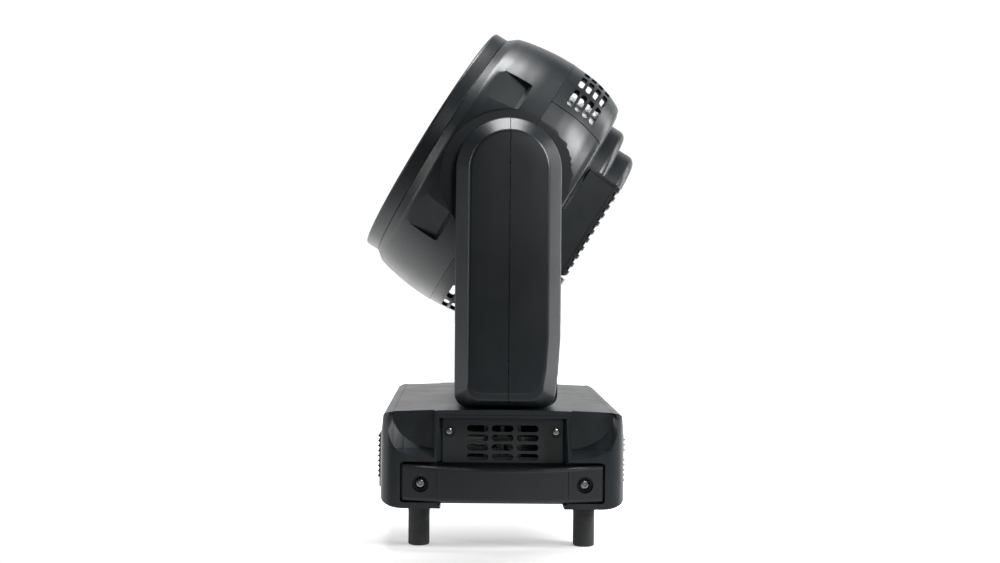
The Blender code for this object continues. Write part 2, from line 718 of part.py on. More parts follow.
def build_base_insides():
    """The bracket, power supply, cooling fan and pan hub."""
    bracket_outline = [(-0.070, 0.0478), (-0.070, 0.1177), (0.070, 0.1177), (0.070, 0.0478),
                       (0.067, 0.0478), (0.067, 0.1147), (-0.067, 0.1147), (-0.067, 0.0478)]
    bracket = prism("bracket", [bracket_outline], "Y", -0.125, 0.125)
    cut(bracket, cylinder("hub_hole", 0.0285, (PAN_X, 0), "Z", 0.11, 0.13, 32))
    part(bracket, "pan_bracket", chassis_steel)

    supply = cut(box("supply", (-0.049, -0.080, 0.0478), (0.049, 0.080, 0.0920)),
                 box("supply_room", (-0.0475, -0.0785, 0.0493), (0.0475, 0.0785, 0.0905)))
    for i in range(7):
        y = -0.060 + i * 0.020
        cut(supply, box("slot", (-0.035, y - 0.002, 0.088), (0.035, y + 0.002, 0.095)))
    part(supply, "power_supply", zinc_steel)

    hub_profile = [(PAN_PULLEY_RADIUS, 0.1600), (PAN_PULLEY_RADIUS, 0.1530), (0.030, 0.1530),
                   (0.030, 0.1220), (0.048, 0.1220), (0.048, 0.1180),
                   (PAN_SHAFT_RADIUS + GAP, 0.1180), (PAN_SHAFT_RADIUS + GAP, 0.1600)]
    hub_place = joint_empty("pan_hub_axis", (PAN_X, 0, 0))
    part(turned("hub", hub_profile, 28, ring=True), "pan_hub_pulley", aluminium, hub_place)

    fan_place = joint_empty("base_fan_axis", (0, -0.1665, 0.1176), (math.radians(-90), 0, 0))
    part(fan_frame("fan", 0.040, 0.015, 0.0185), "base_fan_frame", fan_plastic, fan_place)
    part(fan_rotor("rotor", 0.040, 0.015, 0.0185, 5), "base_fan_rotor", fan_plastic, fan_place)


def build_base():
    """Every piece that stands still."""
    shell = base_shell()
    build_top_cover(shell)
    build_end_cover(shell, -1, "base_end_cover_right")
    build_end_cover(shell, 1, "base_end_cover_left")
    build_chassis(shell)
    build_front(shell)
    build_rear(shell)
    for end, suffix in ((-1, "right"), (1, "left")):
        build_handle(end, f"carry_handle_{suffix}")
        build_grille(end, f"side_grille_{suffix}")
    build_feet()
    build_base_insides()


# ---------------------------------------------------------------------- yoke


def arm_outline(half_width, bottom, inset=0.0, taper=0.0):
    """The arm seen along the tilt axis: a round top on straight sides."""
    half = half_width - inset
    low = bottom + inset
    outline = arc(0, ARM_ARC_Z, half, 0, 180, 16)
    outline += [(-half, low + 0.012), (-half + 0.004, low + 0.003), (-half + 0.012, low)]
    outline += [(half - 0.012 - taper, low), (half - 0.004 - taper, low + 0.004),
                (half, low + 0.075)]
    return outline


def arm_solid(name, end, inset):
    """One arm's outer form, or its cavity when inset."""
    sections = ((ARM_INNER_Y + inset, ARM_HALF_X, ARM_BOTTOM),
                (ARM_SHOULDER_Y - inset * 0.4, ARM_HALF_X, ARM_BOTTOM),
                (ARM_OUTER_Y - inset, ARM_FACE_HALF_X, ARM_FACE_BOTTOM))
    rings = []
    for y, half, bottom in sections:
        rings.append([(x, end * y, z) for x, z in arm_outline(half, bottom, inset, 0.005)])
    return loft(name, rings)


def build_arm(end, suffix, yoke):
    """The two halves of an arm's cover, which meet on a seam."""
    shell = cut(arm_solid("arm_outside", end, 0), arm_solid("arm_inside", end, SKIN))
    inner = (min(end * 0.15, end * 0.164), max(end * 0.15, end * 0.164))
    cut(shell, box("bridge_opening", (-0.046, inner[0], 0.158), (0.046, inner[1], 0.2115)),
        cylinder("shaft_opening", 0.026, (0, TILT_HEIGHT), "Y", *inner, 24))
    for name, low, high in (("front", -0.1, -GAP / 2), ("rear", GAP / 2, 0.1)):
        half = common(box("half_region", (low, min(0, end * 0.25), 0.1),
                          (high, max(0, end * 0.25), 0.5)), shell)
        part(half, f"arm_{suffix}_{name}_cover", cover_plastic, yoke)


def belt_outline(near, far, radius_near, radius_far, clearance):
    """A belt's outline round two pulleys, at near and far along v."""
    reach = far - near
    lean = math.degrees(math.asin((radius_near - radius_far) / reach))
    outline = arc(0, near, radius_near + clearance, 180 - lean, 360 + lean, 18)
    return outline + arc(0, far, radius_far + clearance, lean, 180 - lean, 6)


def build_bridge(yoke):
    """The cover of the cross-member between the arms."""
    height = BRIDGE_TOP - BRIDGE_BOTTOM
    middle = (BRIDGE_TOP + BRIDGE_BOTTOM) / 2
    outer = rounded_rect(0, middle, 2 * BRIDGE_HALF_X, height, 0.010, 3)
    inner = rounded_rect(0, middle, 2 * (BRIDGE_HALF_X - SKIN), height - 2 * SKIN, 0.0075, 3)
    half_y = ARM_INNER_Y - GAP
    cover = prism("bridge", [outer, inner], "Y", -half_y, half_y)
    drive = belt_outline(0, PAN_MOTOR_Y, PAN_PULLEY_RADIUS, SMALL_PULLEY_RADIUS, 0.005)
    cut(cover, prism("drive_opening", [drive], "Z", 0.14, 0.158))
    part(cover, "yoke_bridge_cover", cover_plastic, yoke)


def build_frame(yoke):
    """The bent steel frame that carries both drives and the head."""
    inner_y = FRAME_OUTER_Y - SHEET
    floor = FRAME_FLOOR + SHEET
    outline = [(-FRAME_OUTER_Y, FRAME_TOP), (-FRAME_OUTER_Y, FRAME_FLOOR),
               (FRAME_OUTER_Y, FRAME_FLOOR), (FRAME_OUTER_Y, FRAME_TOP),
               (inner_y, FRAME_TOP), (inner_y, floor), (-inner_y, floor), (-inner_y, FRAME_TOP)]
    frame = prism("frame", [outline], "X", -FRAME_HALF_X, FRAME_HALF_X)
    cut(frame, cylinder("tilt_bores", TILT_SHAFT_RADIUS + GAP, (0, TILT_HEIGHT), "Y",
                        -0.18, 0.18, 32),
        cylinder("shaft_bore", PAN_SHAFT_BORE, (0, 0), "Z", 0.15, 0.18, 24),
        cylinder("pan_motor_bore", 0.012, (0, PAN_MOTOR_Y), "Z", 0.15, 0.18, 20),
        cylinder("tilt_motor_bore", 0.012, (0, TILT_MOTOR_Z), "Y", -0.18, -0.15, 20))
    part(frame, "yoke_frame", chassis_steel, yoke)


def small_pulley(name):
    """A motor's pulley with a flange at its lower end, on local Z."""
    radius = SMALL_PULLEY_RADIUS
    profile = [(radius, 0.0085), (radius, 0.0005), (radius + 0.0012, 0.0005),
               (radius + 0.0012, -0.0005), (0.0028, -0.0005), (0.0028, 0.0085)]
    return turned(name, profile, 16, ring=True)


def motor(name, length, shaft):
    """A stepper motor with its shaft towards local +Z, face at z = 0."""
    half = MOTOR_SIZE / 2
    chamfer = 0.004
    outline = [(half, -half + chamfer), (half, half - chamfer), (half - chamfer, half),
               (-half + chamfer, half), (-half, half - chamfer), (-half, -half + chamfer),
               (-half + chamfer, -half), (half - chamfer, -half)]
    body = prism(name, [outline], "Z", -length, 0)
    join(body, cylinder("boss", 0.011, (0, 0), "Z", -0.001, 0.002, 20),
         cylinder("shaft", 0.0025, (0, 0), "Z", -0.001, shaft, 12))
    return body


def build_pan_drive(yoke):
    """The pan shaft, motor and belt."""
    shaft = [(0.032, 0.1637), (0.032, 0.1607), (PAN_SHAFT_RADIUS, 0.1607),
             (PAN_SHAFT_RADIUS, 0.1120), (PAN_SHAFT_BORE, 0.1120), (PAN_SHAFT_BORE, 0.1637)]
    part(turned("shaft", shaft, 20, ring=True), "pan_shaft", zinc_steel, yoke)
    motor_place = joint_empty("pan_motor_axis", (0, PAN_MOTOR_Y, FRAME_FLOOR + SHEET + GAP),
                              (math.pi, 0, 0), yoke)
    part(motor("motor", 0.034, 0.0140), "pan_motor", motor_steel, motor_place)
    pulley_place = joint_empty("pan_pulley_axis", (0, PAN_MOTOR_Y, 0.1530), (0, 0, 0), yoke)
    part(small_pulley("pulley"), "pan_motor_pulley", aluminium, pulley_place)
    outer = belt_outline(0, PAN_MOTOR_Y, PAN_PULLEY_RADIUS, SMALL_PULLEY_RADIUS,
                         BELT_SEAT + BELT_THICK)
    inner = belt_outline(0, PAN_MOTOR_Y, PAN_PULLEY_RADIUS, SMALL_PULLEY_RADIUS, BELT_SEAT)
    part(prism("belt", [outer, inner], "Z", 0.1539, 0.1593), "pan_belt", belt_rubber, yoke)


def build_tilt_drive(yoke):
    """The tilt motor, its pulley and the belt up the right arm."""
    face_y = -(FRAME_OUTER_Y - SHEET - GAP)
    motor_place = joint_empty("tilt_motor_axis", (0, face_y, TILT_MOTOR_Z),
                              (math.radians(90), 0, 0), yoke)
    part(motor("motor", 0.036, 0.0185), "tilt_motor", motor_steel, motor_place)
    pulley_place = joint_empty("tilt_pulley_axis", (0, -0.1700, TILT_MOTOR_Z),
                               (math.radians(90), 0, 0), yoke)
    part(small_pulley("pulley"), "tilt_motor_pulley", aluminium, pulley_place)
    outer = belt_outline(-TILT_HEIGHT, -TILT_MOTOR_Z, TILT_PULLEY_RADIUS, SMALL_PULLEY_RADIUS,
                         BELT_SEAT + BELT_THICK)
    inner = belt_outline(-TILT_HEIGHT, -TILT_MOTOR_Z, TILT_PULLEY_RADIUS, SMALL_PULLEY_RADIUS,
                         BELT_SEAT)
    loops = [[(u, -v) for u, v in outline] for outline in (outer, inner)]
    part(prism("belt", loops, "Y", -0.1780, -0.1712), "tilt_belt", belt_rubber, yoke)


def build_yoke():
    """Everything that pans but doesn't tilt."""
    yoke = joint_empty("pan_axis", (PAN_X, 0, 0))
    build_arm(-1, "right", yoke)
    build_arm(1, "left", yoke)
    build_bridge(yoke)
    build_frame(yoke)
    build_pan_drive(yoke)
    build_tilt_drive(yoke)
    return yoke


# ---------------------------------------------------------------------- head

OUTER_PROFILE = [(0.1470, 0.0863), (0.1550, 0.0760), (0.1579, 0.0645), (0.1618, 0.0405),
                 (0.1642, 0.0040), (0.1626, -0.0160), (0.1600, -0.0350), (0.1556, -0.0495),
                 (0.1500, -0.0620), (0.1390, -0.0700)]


def profile_between(low, high, inset):
    """The head's outer profile from high to low, inset by the wall."""
    return [(r - inset, a) for r, a in OUTER_PROFILE if low <= a <= high]


def flat_sides(inset):
    """The slab that gives the round head its flat sides."""
    y = HEAD_FLAT_Y - inset
    return box("flat_sides", (-0.2, -y, -0.15), (0.2, y, 0.12))


def side_recesses(inset):
    """The round recesses facing the arms, as a pair of discs."""
    floor = RECESS_FLOOR_Y - inset
    radius = RECESS_RADIUS + inset
    left = cylinder("left_recess", radius, (0, 0), "Y", floor, 0.2, 36)
    return join(left, cylinder("right_recess", radius, (0, 0), "Y", -0.2, -floor, 36))


def pocket(angle, wall):
    """One wedge pocket in the front shell, deepest towards the rear."""
    rings = []
    for a, half, floor in ((0.0785 + wall, 0.0235, 0.1525), (0.0290 - wall, 0.0190, 0.1560)):
        half += wall
        floor -= wall
        ring = [(floor, -half), (0.180, -half), (0.180, half), (floor, half)]
        rings.append([(x, y, a) for x, y in ring])
    return moved(loft("pocket", rings), Matrix.Rotation(angle, 4, "Z"))


POCKET_ANGLES = [math.radians(angle) for angle in (59, 121, 239, 301)]


def shaft_clearance():
    """The hole through both side walls for the tilt shafts."""
    return cylinder("shaft_clearance", 0.022, (0, 0), "Y", -0.2, 0.2, 24)


def build_front_shell(head):
    """The front half of the head's casing, with four wedge pockets."""
    top = profile_between(0.01, 0.09, 0) + [(0.1642, HEAD_SEAM)]
    outside = turned("front_outside", [(0, 0.0863)] + top + [(0, HEAD_SEAM)], HEAD_STEPS)
    common(outside, flat_sides(0))
    cut(outside, side_recesses(0), *[pocket(angle, 0) for angle in POCKET_ANGLES])
    room_profile = profile_between(0.01, 0.07, HEAD_WALL)
    room = turned("front_room", [(0, 0.10), (0.136, 0.10), (0.136, 0.0832), (0.1450, 0.0832),
                                 (0.1515, 0.0750)]
                  + room_profile + [(0.1612, -0.004), (0, -0.004)], HEAD_STEPS)
    common(room, flat_sides(HEAD_WALL))
    cut(room, side_recesses(HEAD_WALL), *[pocket(angle, HEAD_WALL) for angle in POCKET_ANGLES])
    part(cut(outside, room, shaft_clearance()), "head_front_shell", cover_plastic, head)


def vent_slots():
    """All the slots of the top and bottom vents, as one cutter."""
    bm = bmesh.new()
    for side in (0, math.pi):
        for slot in range(VENT_SLOTS):
            angle = side + (slot - (VENT_SLOTS - 1) / 2) * VENT_PITCH
            for a in VENT_COLUMNS:
                cube = bmesh.ops.create_cube(bm, size=1.0)["verts"]
                bmesh.ops.scale(bm, vec=(0.04, VENT_LENGTH, VENT_WIDTH), verts=cube)
                bmesh.ops.translate(bm, vec=(0.160, 0, a), verts=cube)
                bmesh.ops.rotate(bm, matrix=Matrix.Rotation(angle, 3, "Z"), verts=cube)
    return from_bmesh("vent_slots", bm)


def build_rear_shell(head):
    """The rear half of the head's casing, vented at the top and bottom."""
    start = HEAD_SEAM - GAP
    outer = [(0.1642, start)] + profile_between(-0.09, -0.01, 0)
    outside = turned("rear_outside", [(0, start)] + outer + [(0, -0.070)], HEAD_STEPS)
    common(outside, flat_sides(0))
    cut(outside, side_recesses(0))
    inner = [(0.1612, 0.015), (0.1612, start)] + profile_between(-0.065, -0.01, HEAD_WALL)
    room = turned("rear_room", [(0, 0.015)] + inner + [(0.1385, -0.067), (0.116, -0.067),
                                                       (0.116, -0.08), (0, -0.08)], HEAD_STEPS)
    common(room, flat_sides(HEAD_WALL))
    cut(room, side_recesses(HEAD_WALL))
    part(cut(outside, room, shaft_clearance(), vent_slots()), "head_rear_shell",
         cover_plastic, head)


def build_rear_covers(head):
    """The stepped rear cover and the slotted exhaust box across it."""
    steps = [(0, -0.0703), (0.127, -0.0703), (0.127, -0.0850), (0.1205, -0.0913),
             (0.108, -0.0914), (0.108, -0.1100), (0.1005, -0.1170), (0, -0.1170)]
    room = [(0, -0.064), (0.1244, -0.064), (0.1244, -0.0842), (0.1195, -0.0887),
            (0.1056, -0.0889), (0.1056, -0.1090), (0.0995, -0.1145), (0, -0.1145)]
    cover = cut(turned("steps_outside", steps, HEAD_STEPS), turned("steps_room", room, HEAD_STEPS))
    reach_x, reach_y = REAR_BOX_HALF_X, REAR_BOX_HALF_Y
    cut(cover, box("box_seat", (-reach_x - GAP, -0.14, -0.15),
                   (reach_x + GAP, 0.14, REAR_BOX_FRONT + GAP)))
    part(cover, "head_rear_cover", cover_plastic, head)

    rim = REAR_BOX_RIM
    section = [(-reach_y, REAR_BOX_FRONT), (-reach_y, REAR_BOX_BACK + rim),
               (-reach_y + rim, REAR_BOX_BACK), (reach_y - rim, REAR_BOX_BACK),
               (reach_y, REAR_BOX_BACK + rim), (reach_y, REAR_BOX_FRONT)]
    exhaust = prism("exhaust", [section], "X", -reach_x, reach_x)
    cut(exhaust, box("exhaust_room", (-reach_x + SKIN, -reach_y + rim, REAR_BOX_BACK + SKIN),
                     (reach_x - SKIN, reach_y - rim, REAR_BOX_FRONT + 0.005)))
    for i in range(REAR_SLOTS):
        x = (i - (REAR_SLOTS - 1) / 2) * REAR_SLOT_PITCH
        for end in (-1, 1):
            cut(exhaust, box("rim_slot",
                             (x - 0.003, min(end * 0.078, end * 0.13), REAR_BOX_BACK - 0.002),
                             (x + 0.003, max(end * 0.078, end * 0.13), REAR_BOX_BACK + 0.0055)))
    cut(exhaust, *[box("centre_slot", (-0.046, y - 0.003, REAR_BOX_BACK - 0.002),
                       (0.046, y + 0.003, REAR_BOX_BACK + 0.005))
                   for y in (-0.055, -0.033, -0.011, 0.011, 0.033, 0.055)])
    part(exhaust, "head_exhaust_grille", cover_plastic, head)


def build_bezel(head):
    """The front ring round the lenses."""
    profile = [(BEZEL_BORE, BEZEL_FRONT), (BEZEL_RADIUS - 0.0025, BEZEL_FRONT),
               (BEZEL_RADIUS, BEZEL_FRONT - 0.0025), (BEZEL_RADIUS, BEZEL_BACK),
               (BEZEL_BORE, BEZEL_BACK)]
    part(turned("bezel", profile, HEAD_STEPS, ring=True), "lens_bezel", cover_plastic, head)


def lens_spots():
    """The centres of the lenses: one, then six, then twelve."""
    spots = []
    for count, radius in LENS_RINGS:
        for i in range(count):
            angle = 2 * math.pi * i / count
            spots.append((radius * math.cos(angle), radius * math.sin(angle)))
    return spots


def build_optics(head):
    """The zooming lens plate and the fixed board of light sources."""
    plate = cylinder("plate", 0.132, (0, 0), "Z", 0.069, 0.073, 30)
    lenses = bmesh.new()
    for x, y in lens_spots():
        lens = bmesh.ops.create_cone(lenses, cap_ends=True, segments=10, radius1=0.0245,
                                     radius2=0.0190, depth=0.020)["verts"]
        bmesh.ops.translate(lenses, vec=(x, y, 0.081), verts=lens)
    part(join(plate, from_bmesh("lenses", lenses)), "zoom_lens_plate", lens_acrylic, head)

    board = cylinder("board", 0.128, (0, 0), "Z", 0.0180, 0.0200, 24)
    sources = bmesh.new()
    for x, y in lens_spots():
        chip = bmesh.ops.create_cube(sources, size=1.0)["verts"]
        bmesh.ops.scale(sources, vec=(0.009, 0.009, 0.004), verts=chip)
        bmesh.ops.translate(sources, vec=(x, y, 0.0212), verts=chip)
    part(join(board, from_bmesh("chips", sources)), "led_board", board_green, head)


def build_cooling(head):
    """The finned heatsink and the fan behind it."""
    plate = cylinder("plate", 0.132, (0, 0), "Z", 0.0100, 0.0177, 28)
    fins = bmesh.new()
    pitch = 0.012
    for i in range(-10, 11):
        y = i * pitch
        half = math.sqrt(0.132 ** 2 - (abs(y) + 0.001) ** 2)
        fin = bmesh.ops.create_cube(fins, size=1.0)["verts"]
        bmesh.ops.scale(fins, vec=(2 * half, 0.002, 0.072), verts=fin)
        bmesh.ops.translate(fins, vec=(0, y, -0.025), verts=fin)
    part(join(plate, from_bmesh("fins", fins)), "heatsink", aluminium, head)

    fan_place = joint_empty("head_fan_axis", (0, 0, -0.0965), (0, 0, 0), head)
    part(fan_frame("fan", 0.110, 0.030, 0.052), "head_fan_frame", fan_plastic, fan_place)
    part(fan_rotor("rotor", 0.110, 0.030, 0.052, 7), "head_fan_rotor", fan_plastic, fan_place)


def build_tilt_shafts(head):
    """A flanged hollow shaft on each side, and the driven pulley."""
    for end, suffix, reach in ((-1, "right", 0.1815), (1, "left", 0.1700)):
        flange = RECESS_FLOOR_Y - HEAD_WALL - GAP
        profile = [(TILT_SHAFT_RADIUS, reach), (TILT_SHAFT_RADIUS, flange), (0.034, flange),
                   (0.034, flange - 0.004), (0.010, flange - 0.004), (0.010, reach)]
        place = joint_empty(f"tilt_shaft_{suffix}_axis", (0, 0, 0),
                            (math.radians(-90 * end), 0, 0), head)
        part(turned("shaft", profile, 20, ring=True), f"tilt_shaft_{suffix}", zinc_steel, place)
    pulley = [(TILT_PULLEY_RADIUS, 0.1785), (TILT_PULLEY_RADIUS, 0.1706), (0.0415, 0.1706),
              (0.0415, 0.1696), (TILT_SHAFT_RADIUS + GAP, 0.1696),
              (TILT_SHAFT_RADIUS + GAP, 0.1785)]
    place = joint_empty("tilt_pulley_driven_axis", (0, 0, 0), (math.radians(90), 0, 0), head)
    part(turned("pulley", pulley, 28, ring=True), "tilt_pulley", aluminium, place)


def build_head(yoke):
    """Everything that tilts, in the head's own frame."""
    head = joint_empty("tilt_axis", (0, 0, TILT_HEIGHT), (0, HEAD_TILT, 0), yoke)
    build_bezel(head)
    build_front_shell(head)
    build_rear_shell(head)
    build_rear_covers(head)
    build_optics(head)
    build_cooling(head)
    build_tilt_shafts(head)


build_base()
build_head(build_yoke())
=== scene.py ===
"""The looks of a moving head wash light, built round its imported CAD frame.

Metres, +Z up, in the CAD's own frame. The front of the base faces -X, and the
pan axis stands a little behind the base's middle. Head shapes are made in the
head's own frame, with local +Z along the beam, and then set in place.
"""
import json
import math

import bmesh
import bpy
from mathutils import Matrix, Vector

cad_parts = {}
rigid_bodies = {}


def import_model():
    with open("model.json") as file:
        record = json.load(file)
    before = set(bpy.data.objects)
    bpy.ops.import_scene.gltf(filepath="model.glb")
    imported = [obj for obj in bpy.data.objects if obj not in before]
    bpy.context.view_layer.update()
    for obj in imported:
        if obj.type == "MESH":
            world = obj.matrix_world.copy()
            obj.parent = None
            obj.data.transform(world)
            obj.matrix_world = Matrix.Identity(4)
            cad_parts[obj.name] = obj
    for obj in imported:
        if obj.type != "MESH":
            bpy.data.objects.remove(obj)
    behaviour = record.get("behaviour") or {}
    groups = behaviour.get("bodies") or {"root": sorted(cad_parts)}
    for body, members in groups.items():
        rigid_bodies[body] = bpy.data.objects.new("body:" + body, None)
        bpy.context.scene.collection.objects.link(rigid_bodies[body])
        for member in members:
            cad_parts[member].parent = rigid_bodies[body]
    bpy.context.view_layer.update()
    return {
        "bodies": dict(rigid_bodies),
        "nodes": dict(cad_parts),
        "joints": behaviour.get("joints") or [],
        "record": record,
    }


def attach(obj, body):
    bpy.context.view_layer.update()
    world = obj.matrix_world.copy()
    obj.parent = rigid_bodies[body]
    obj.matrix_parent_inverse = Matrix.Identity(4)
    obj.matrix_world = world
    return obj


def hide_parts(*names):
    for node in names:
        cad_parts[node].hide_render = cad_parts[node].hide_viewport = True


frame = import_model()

JOINTS = {joint["name"]: joint for joint in frame["joints"]}

TILT_POINT = Vector(JOINTS["tilt"]["pos_m"])
TILT_AXIS = Vector(JOINTS["tilt"]["axis"]).normalized()
BEAM_AXIS = Vector(JOINTS["zoom"]["axis"]).normalized()
TILT_HEIGHT = TILT_POINT.z
HEAD_UP = TILT_AXIS.cross(BEAM_AXIS)
HEAD_FRAME = Matrix((HEAD_UP, TILT_AXIS, BEAM_AXIS)).transposed().to_4x4()
HEAD_FRAME.translation = TILT_POINT
PAN_POINT = Vector(JOINTS["pan"]["pos_m"])
YOKE_FRAME = Matrix.Translation((*PAN_POINT.xy, 0))
STILL = Matrix.Identity(4)

# Frames that stand a flat outline (u, v) square to an axis, and the axes.
OUTLINE_FRAMES = {
    "X": Matrix(((0, 0, 1), (1, 0, 0), (0, 1, 0))).to_4x4(),
    "Y": Matrix(((1, 0, 0), (0, 0, -1), (0, 1, 0))).to_4x4(),
    "Z": Matrix.Identity(4),
}
NORMALS = {"X": Vector((1, 0, 0)), "Y": Vector((0, 1, 0)), "Z": Vector((0, 0, 1))}

ENDS = ((-1, "right"), (1, "left"))      # along Y
SIDES = ((-1, "front"), (1, "rear"))     # along X
CLEARANCE = 0.0003       # between neighbouring covers
FAR = 0.2                # past every face of the object

# ------------------------------------------------------------------ geometry


def linked(name, data):
    """An object in the scene for a mesh, a curve, a light or a camera."""
    obj = bpy.data.objects.new(name, data)
    bpy.context.scene.collection.objects.link(obj)
    return obj


def move(x, y, z):
    """A move along the three axes."""
    return Matrix.Translation((x, y, z))


def turn(degrees, axis):
    """A turn about an axis."""
    return Matrix.Rotation(math.radians(degrees), 4, axis)


def from_bmesh(name, bm, outwards=True):
    """An object from a bmesh, with its faces turned outwards."""
    if outwards:
        bmesh.ops.recalc_face_normals(bm, faces=bm.faces)
    mesh = bpy.data.meshes.new(name)
    bm.to_mesh(mesh)
    bm.free()
    return linked(name, mesh)


def box(low, high):
    """A box between two corners, given in any order."""
    bm = bmesh.new()
    bmesh.ops.create_cube(bm, size=1.0)
    middle = (Vector(low) + Vector(high)) / 2
    size = Vector([abs(a - b) for a, b in zip(low, high)])
    bmesh.ops.scale(bm, vec=size, verts=bm.verts)
    bmesh.ops.translate(bm, vec=middle, verts=bm.verts)
    return from_bmesh("box", bm)


def arc(u, v, radius, start, end, steps, radius_v=None):
    """Points along an arc or elliptic arc, with angles in degrees."""
    points = []
    for i in range(steps + 1):
        angle = math.radians(start + (end - start) * i / steps)
        points.append((u + radius * math.cos(angle),
                       v + (radius_v or radius) * math.sin(angle)))
    return points


def rounded_rect(u, v, width, height, radius, steps=6):
    """A closed rectangle outline with round corners."""
    outline = []
    for quarter, (side_u, side_v) in enumerate(((1, 1), (-1, 1), (-1, -1), (1, -1))):
        outline += arc(u + side_u * (width / 2 - radius), v + side_v * (height / 2 - radius),
                       radius, 90 * quarter, 90 * quarter + 90, steps)
    return outline


def stadium(u, v, length, width, steps=10):
    """A closed slot outline, long in u, with round ends."""
    reach = (length - width) / 2
    return (arc(u + reach, v, width / 2, -90, 90, steps)
            + arc(u - reach, v, width / 2, 90, 270, steps))


def filleted(corners, closed=False, steps=5):
    """Points (u, v, radius) of a polyline, each corner rounded to its radius."""
    count = len(corners)
    points = []
    for i, (u, v, radius) in enumerate(corners):
        if radius <= 0 or (not closed and i in (0, count - 1)):
            points.append((u, v))
            continue
        here = Vector((u, v))
        before = (Vector(corners[i - 1][:2]) - here).normalized()
        after = (Vector(corners[(i + 1) % count][:2]) - here).normalized()
        half = before.angle(after) / 2
        reach = radius / math.tan(half)
        centre = here + (before + after).normalized() * radius / math.sin(half)
        first = here + before * reach - centre
        last = here + after * reach - centre
        sweep = first.angle_signed(last)
        for k in range(steps + 1):
            spoke = first.copy()
            spoke.rotate(Matrix.Rotation(-sweep * k / steps, 2))
            points.append(tuple(centre + spoke))
    return points


def evaluated(obj):
    """A mesh of an object as its curve or modifiers make it."""
    depsgraph = bpy.context.evaluated_depsgraph_get()
    return bpy.data.meshes.new_from_object(obj.evaluated_get(depsgraph))


def prism(outlines, axis, low, high):
    """Flat closed outlines, the first with the others as holes, extruded."""
    low, high = sorted((low, high))
    curve = bpy.data.curves.new("flat", "CURVE")
    curve.dimensions = "2D"
    curve.fill_mode = "BOTH"
    curve.extrude = (high - low) / 2
    for outline in outlines:
        spline = curve.splines.new("POLY")
        spline.points.add(len(outline) - 1)
        for point, (u, v) in zip(spline.points, outline):
            point.co = (u, v, 0, 1)
        spline.use_cyclic_u = True
    flat = linked("flat", curve)
    bm = bmesh.new()
    bm.from_mesh(evaluated(flat))
    bpy.data.objects.remove(flat, do_unlink=True)
    bmesh.ops.remove_doubles(bm, verts=bm.verts, dist=1e-6)
    bmesh.ops.dissolve_limit(bm, angle_limit=0.001, verts=bm.verts, edges=bm.edges)
    bmesh.ops.transform(bm, matrix=OUTLINE_FRAMES[axis], verts=bm.verts)
    bmesh.ops.translate(bm, vec=NORMALS[axis] * (low + high) / 2, verts=bm.verts)
    return from_bmesh("prism", bm)


def rod(radius, centre, axis, low, high, steps=40):
    """A cylinder along an axis; centre gives the other two places."""
    low, high = sorted((low, high))
    bm = bmesh.new()
    bmesh.ops.create_cone(bm, cap_ends=True, segments=steps, radius1=radius, radius2=radius,
                          depth=high - low)
    flip = Matrix.Scale(-1, 4, (0, 0, 1)) if axis == "Y" else STILL
    bmesh.ops.translate(bm, vec=(*centre, (low + high) / 2), verts=bm.verts)
    bmesh.ops.transform(bm, matrix=OUTLINE_FRAMES[axis] @ flip, verts=bm.verts)
    return from_bmesh("rod", bm)


def loft(rings, split=False):
    """A closed solid through rings of points, in triangles when its faces twist."""
    bm = bmesh.new()
    loops = [[bm.verts.new(point) for point in ring] for ring in rings]
    for before, after in zip(loops, loops[1:]):
        for i, vert in enumerate(before):
            j = (i + 1) % len(before)
            bm.faces.new((vert, before[j], after[j], after[i]))
    bm.faces.new(loops[0])
    bm.faces.new(loops[-1])
    if split:
        bmesh.ops.triangulate(bm, faces=bm.faces)
    return from_bmesh("loft", bm)


def turned(profile, steps=96, ring=False):
    """A profile of (radius, height) turned about Z; radius 0 ends are poles."""
    bm = bmesh.new()
    rows = []
    for radius, height in profile:
        if radius < 1e-7:
            rows.append([bm.verts.new((0, 0, height))])
            continue
        rows.append([bm.verts.new((radius * math.cos(2 * math.pi * k / steps),
                                   radius * math.sin(2 * math.pi * k / steps), height))
                     for k in range(steps)])
    pairs = list(zip(rows, rows[1:])) + ([(rows[-1], rows[0])] if ring else [])
    for before, after in pairs:
        for k in range(steps):
            j = (k + 1) % steps
            corners = [before[k % len(before)], before[j % len(before)],
                       after[j % len(after)], after[k % len(after)]]
            face = list(dict.fromkeys(corners))
            if len(face) > 2:
                bm.faces.new(face)
    return from_bmesh("turned", bm)


def disc(radius, low, high, steps=96):
    """A round plate, centred on Z."""
    return turned([(0, low), (radius, low), (radius, high), (0, high)], steps)


def baked(obj):
    """Apply an object's modifiers to its mesh."""
    mesh = evaluated(obj)
    obj.modifiers.clear()
    obj.data = mesh
    return obj


def mended(obj):
    """Close the hairline slits a Boolean may leave."""
    bm = bmesh.new()
    bm.from_mesh(obj.data)
    slits = [edge for edge in bm.edges if len(edge.link_faces) == 1]
    if slits:
        bmesh.ops.holes_fill(bm, edges=slits, sides=0)
        bm.to_mesh(obj.data)
    bm.free()
    return obj


def carve(target, operation, tools):
    """Apply a Boolean with each tool in turn, and remove the tools."""
    for tool in tools:
        modifier = target.modifiers.new("carve", "BOOLEAN")
        modifier.operation = operation
        modifier.solver = "EXACT"
        modifier.object = tool
        mended(baked(target))
        bpy.data.objects.remove(tool, do_unlink=True)
    return target


def cut(target, *tools):
    """Take the tools away from the target."""
    return carve(target, "DIFFERENCE", tools)


def join(target, *tools):
    """Add the tools to the target."""
    return carve(target, "UNION", tools)


def common(target, *tools):
    """Keep what the target shares with every tool."""
    return carve(target, "INTERSECT", tools)


def copy_of(obj):
    """A second object with its own copy of the mesh."""
    return linked(obj.name, obj.data.copy())


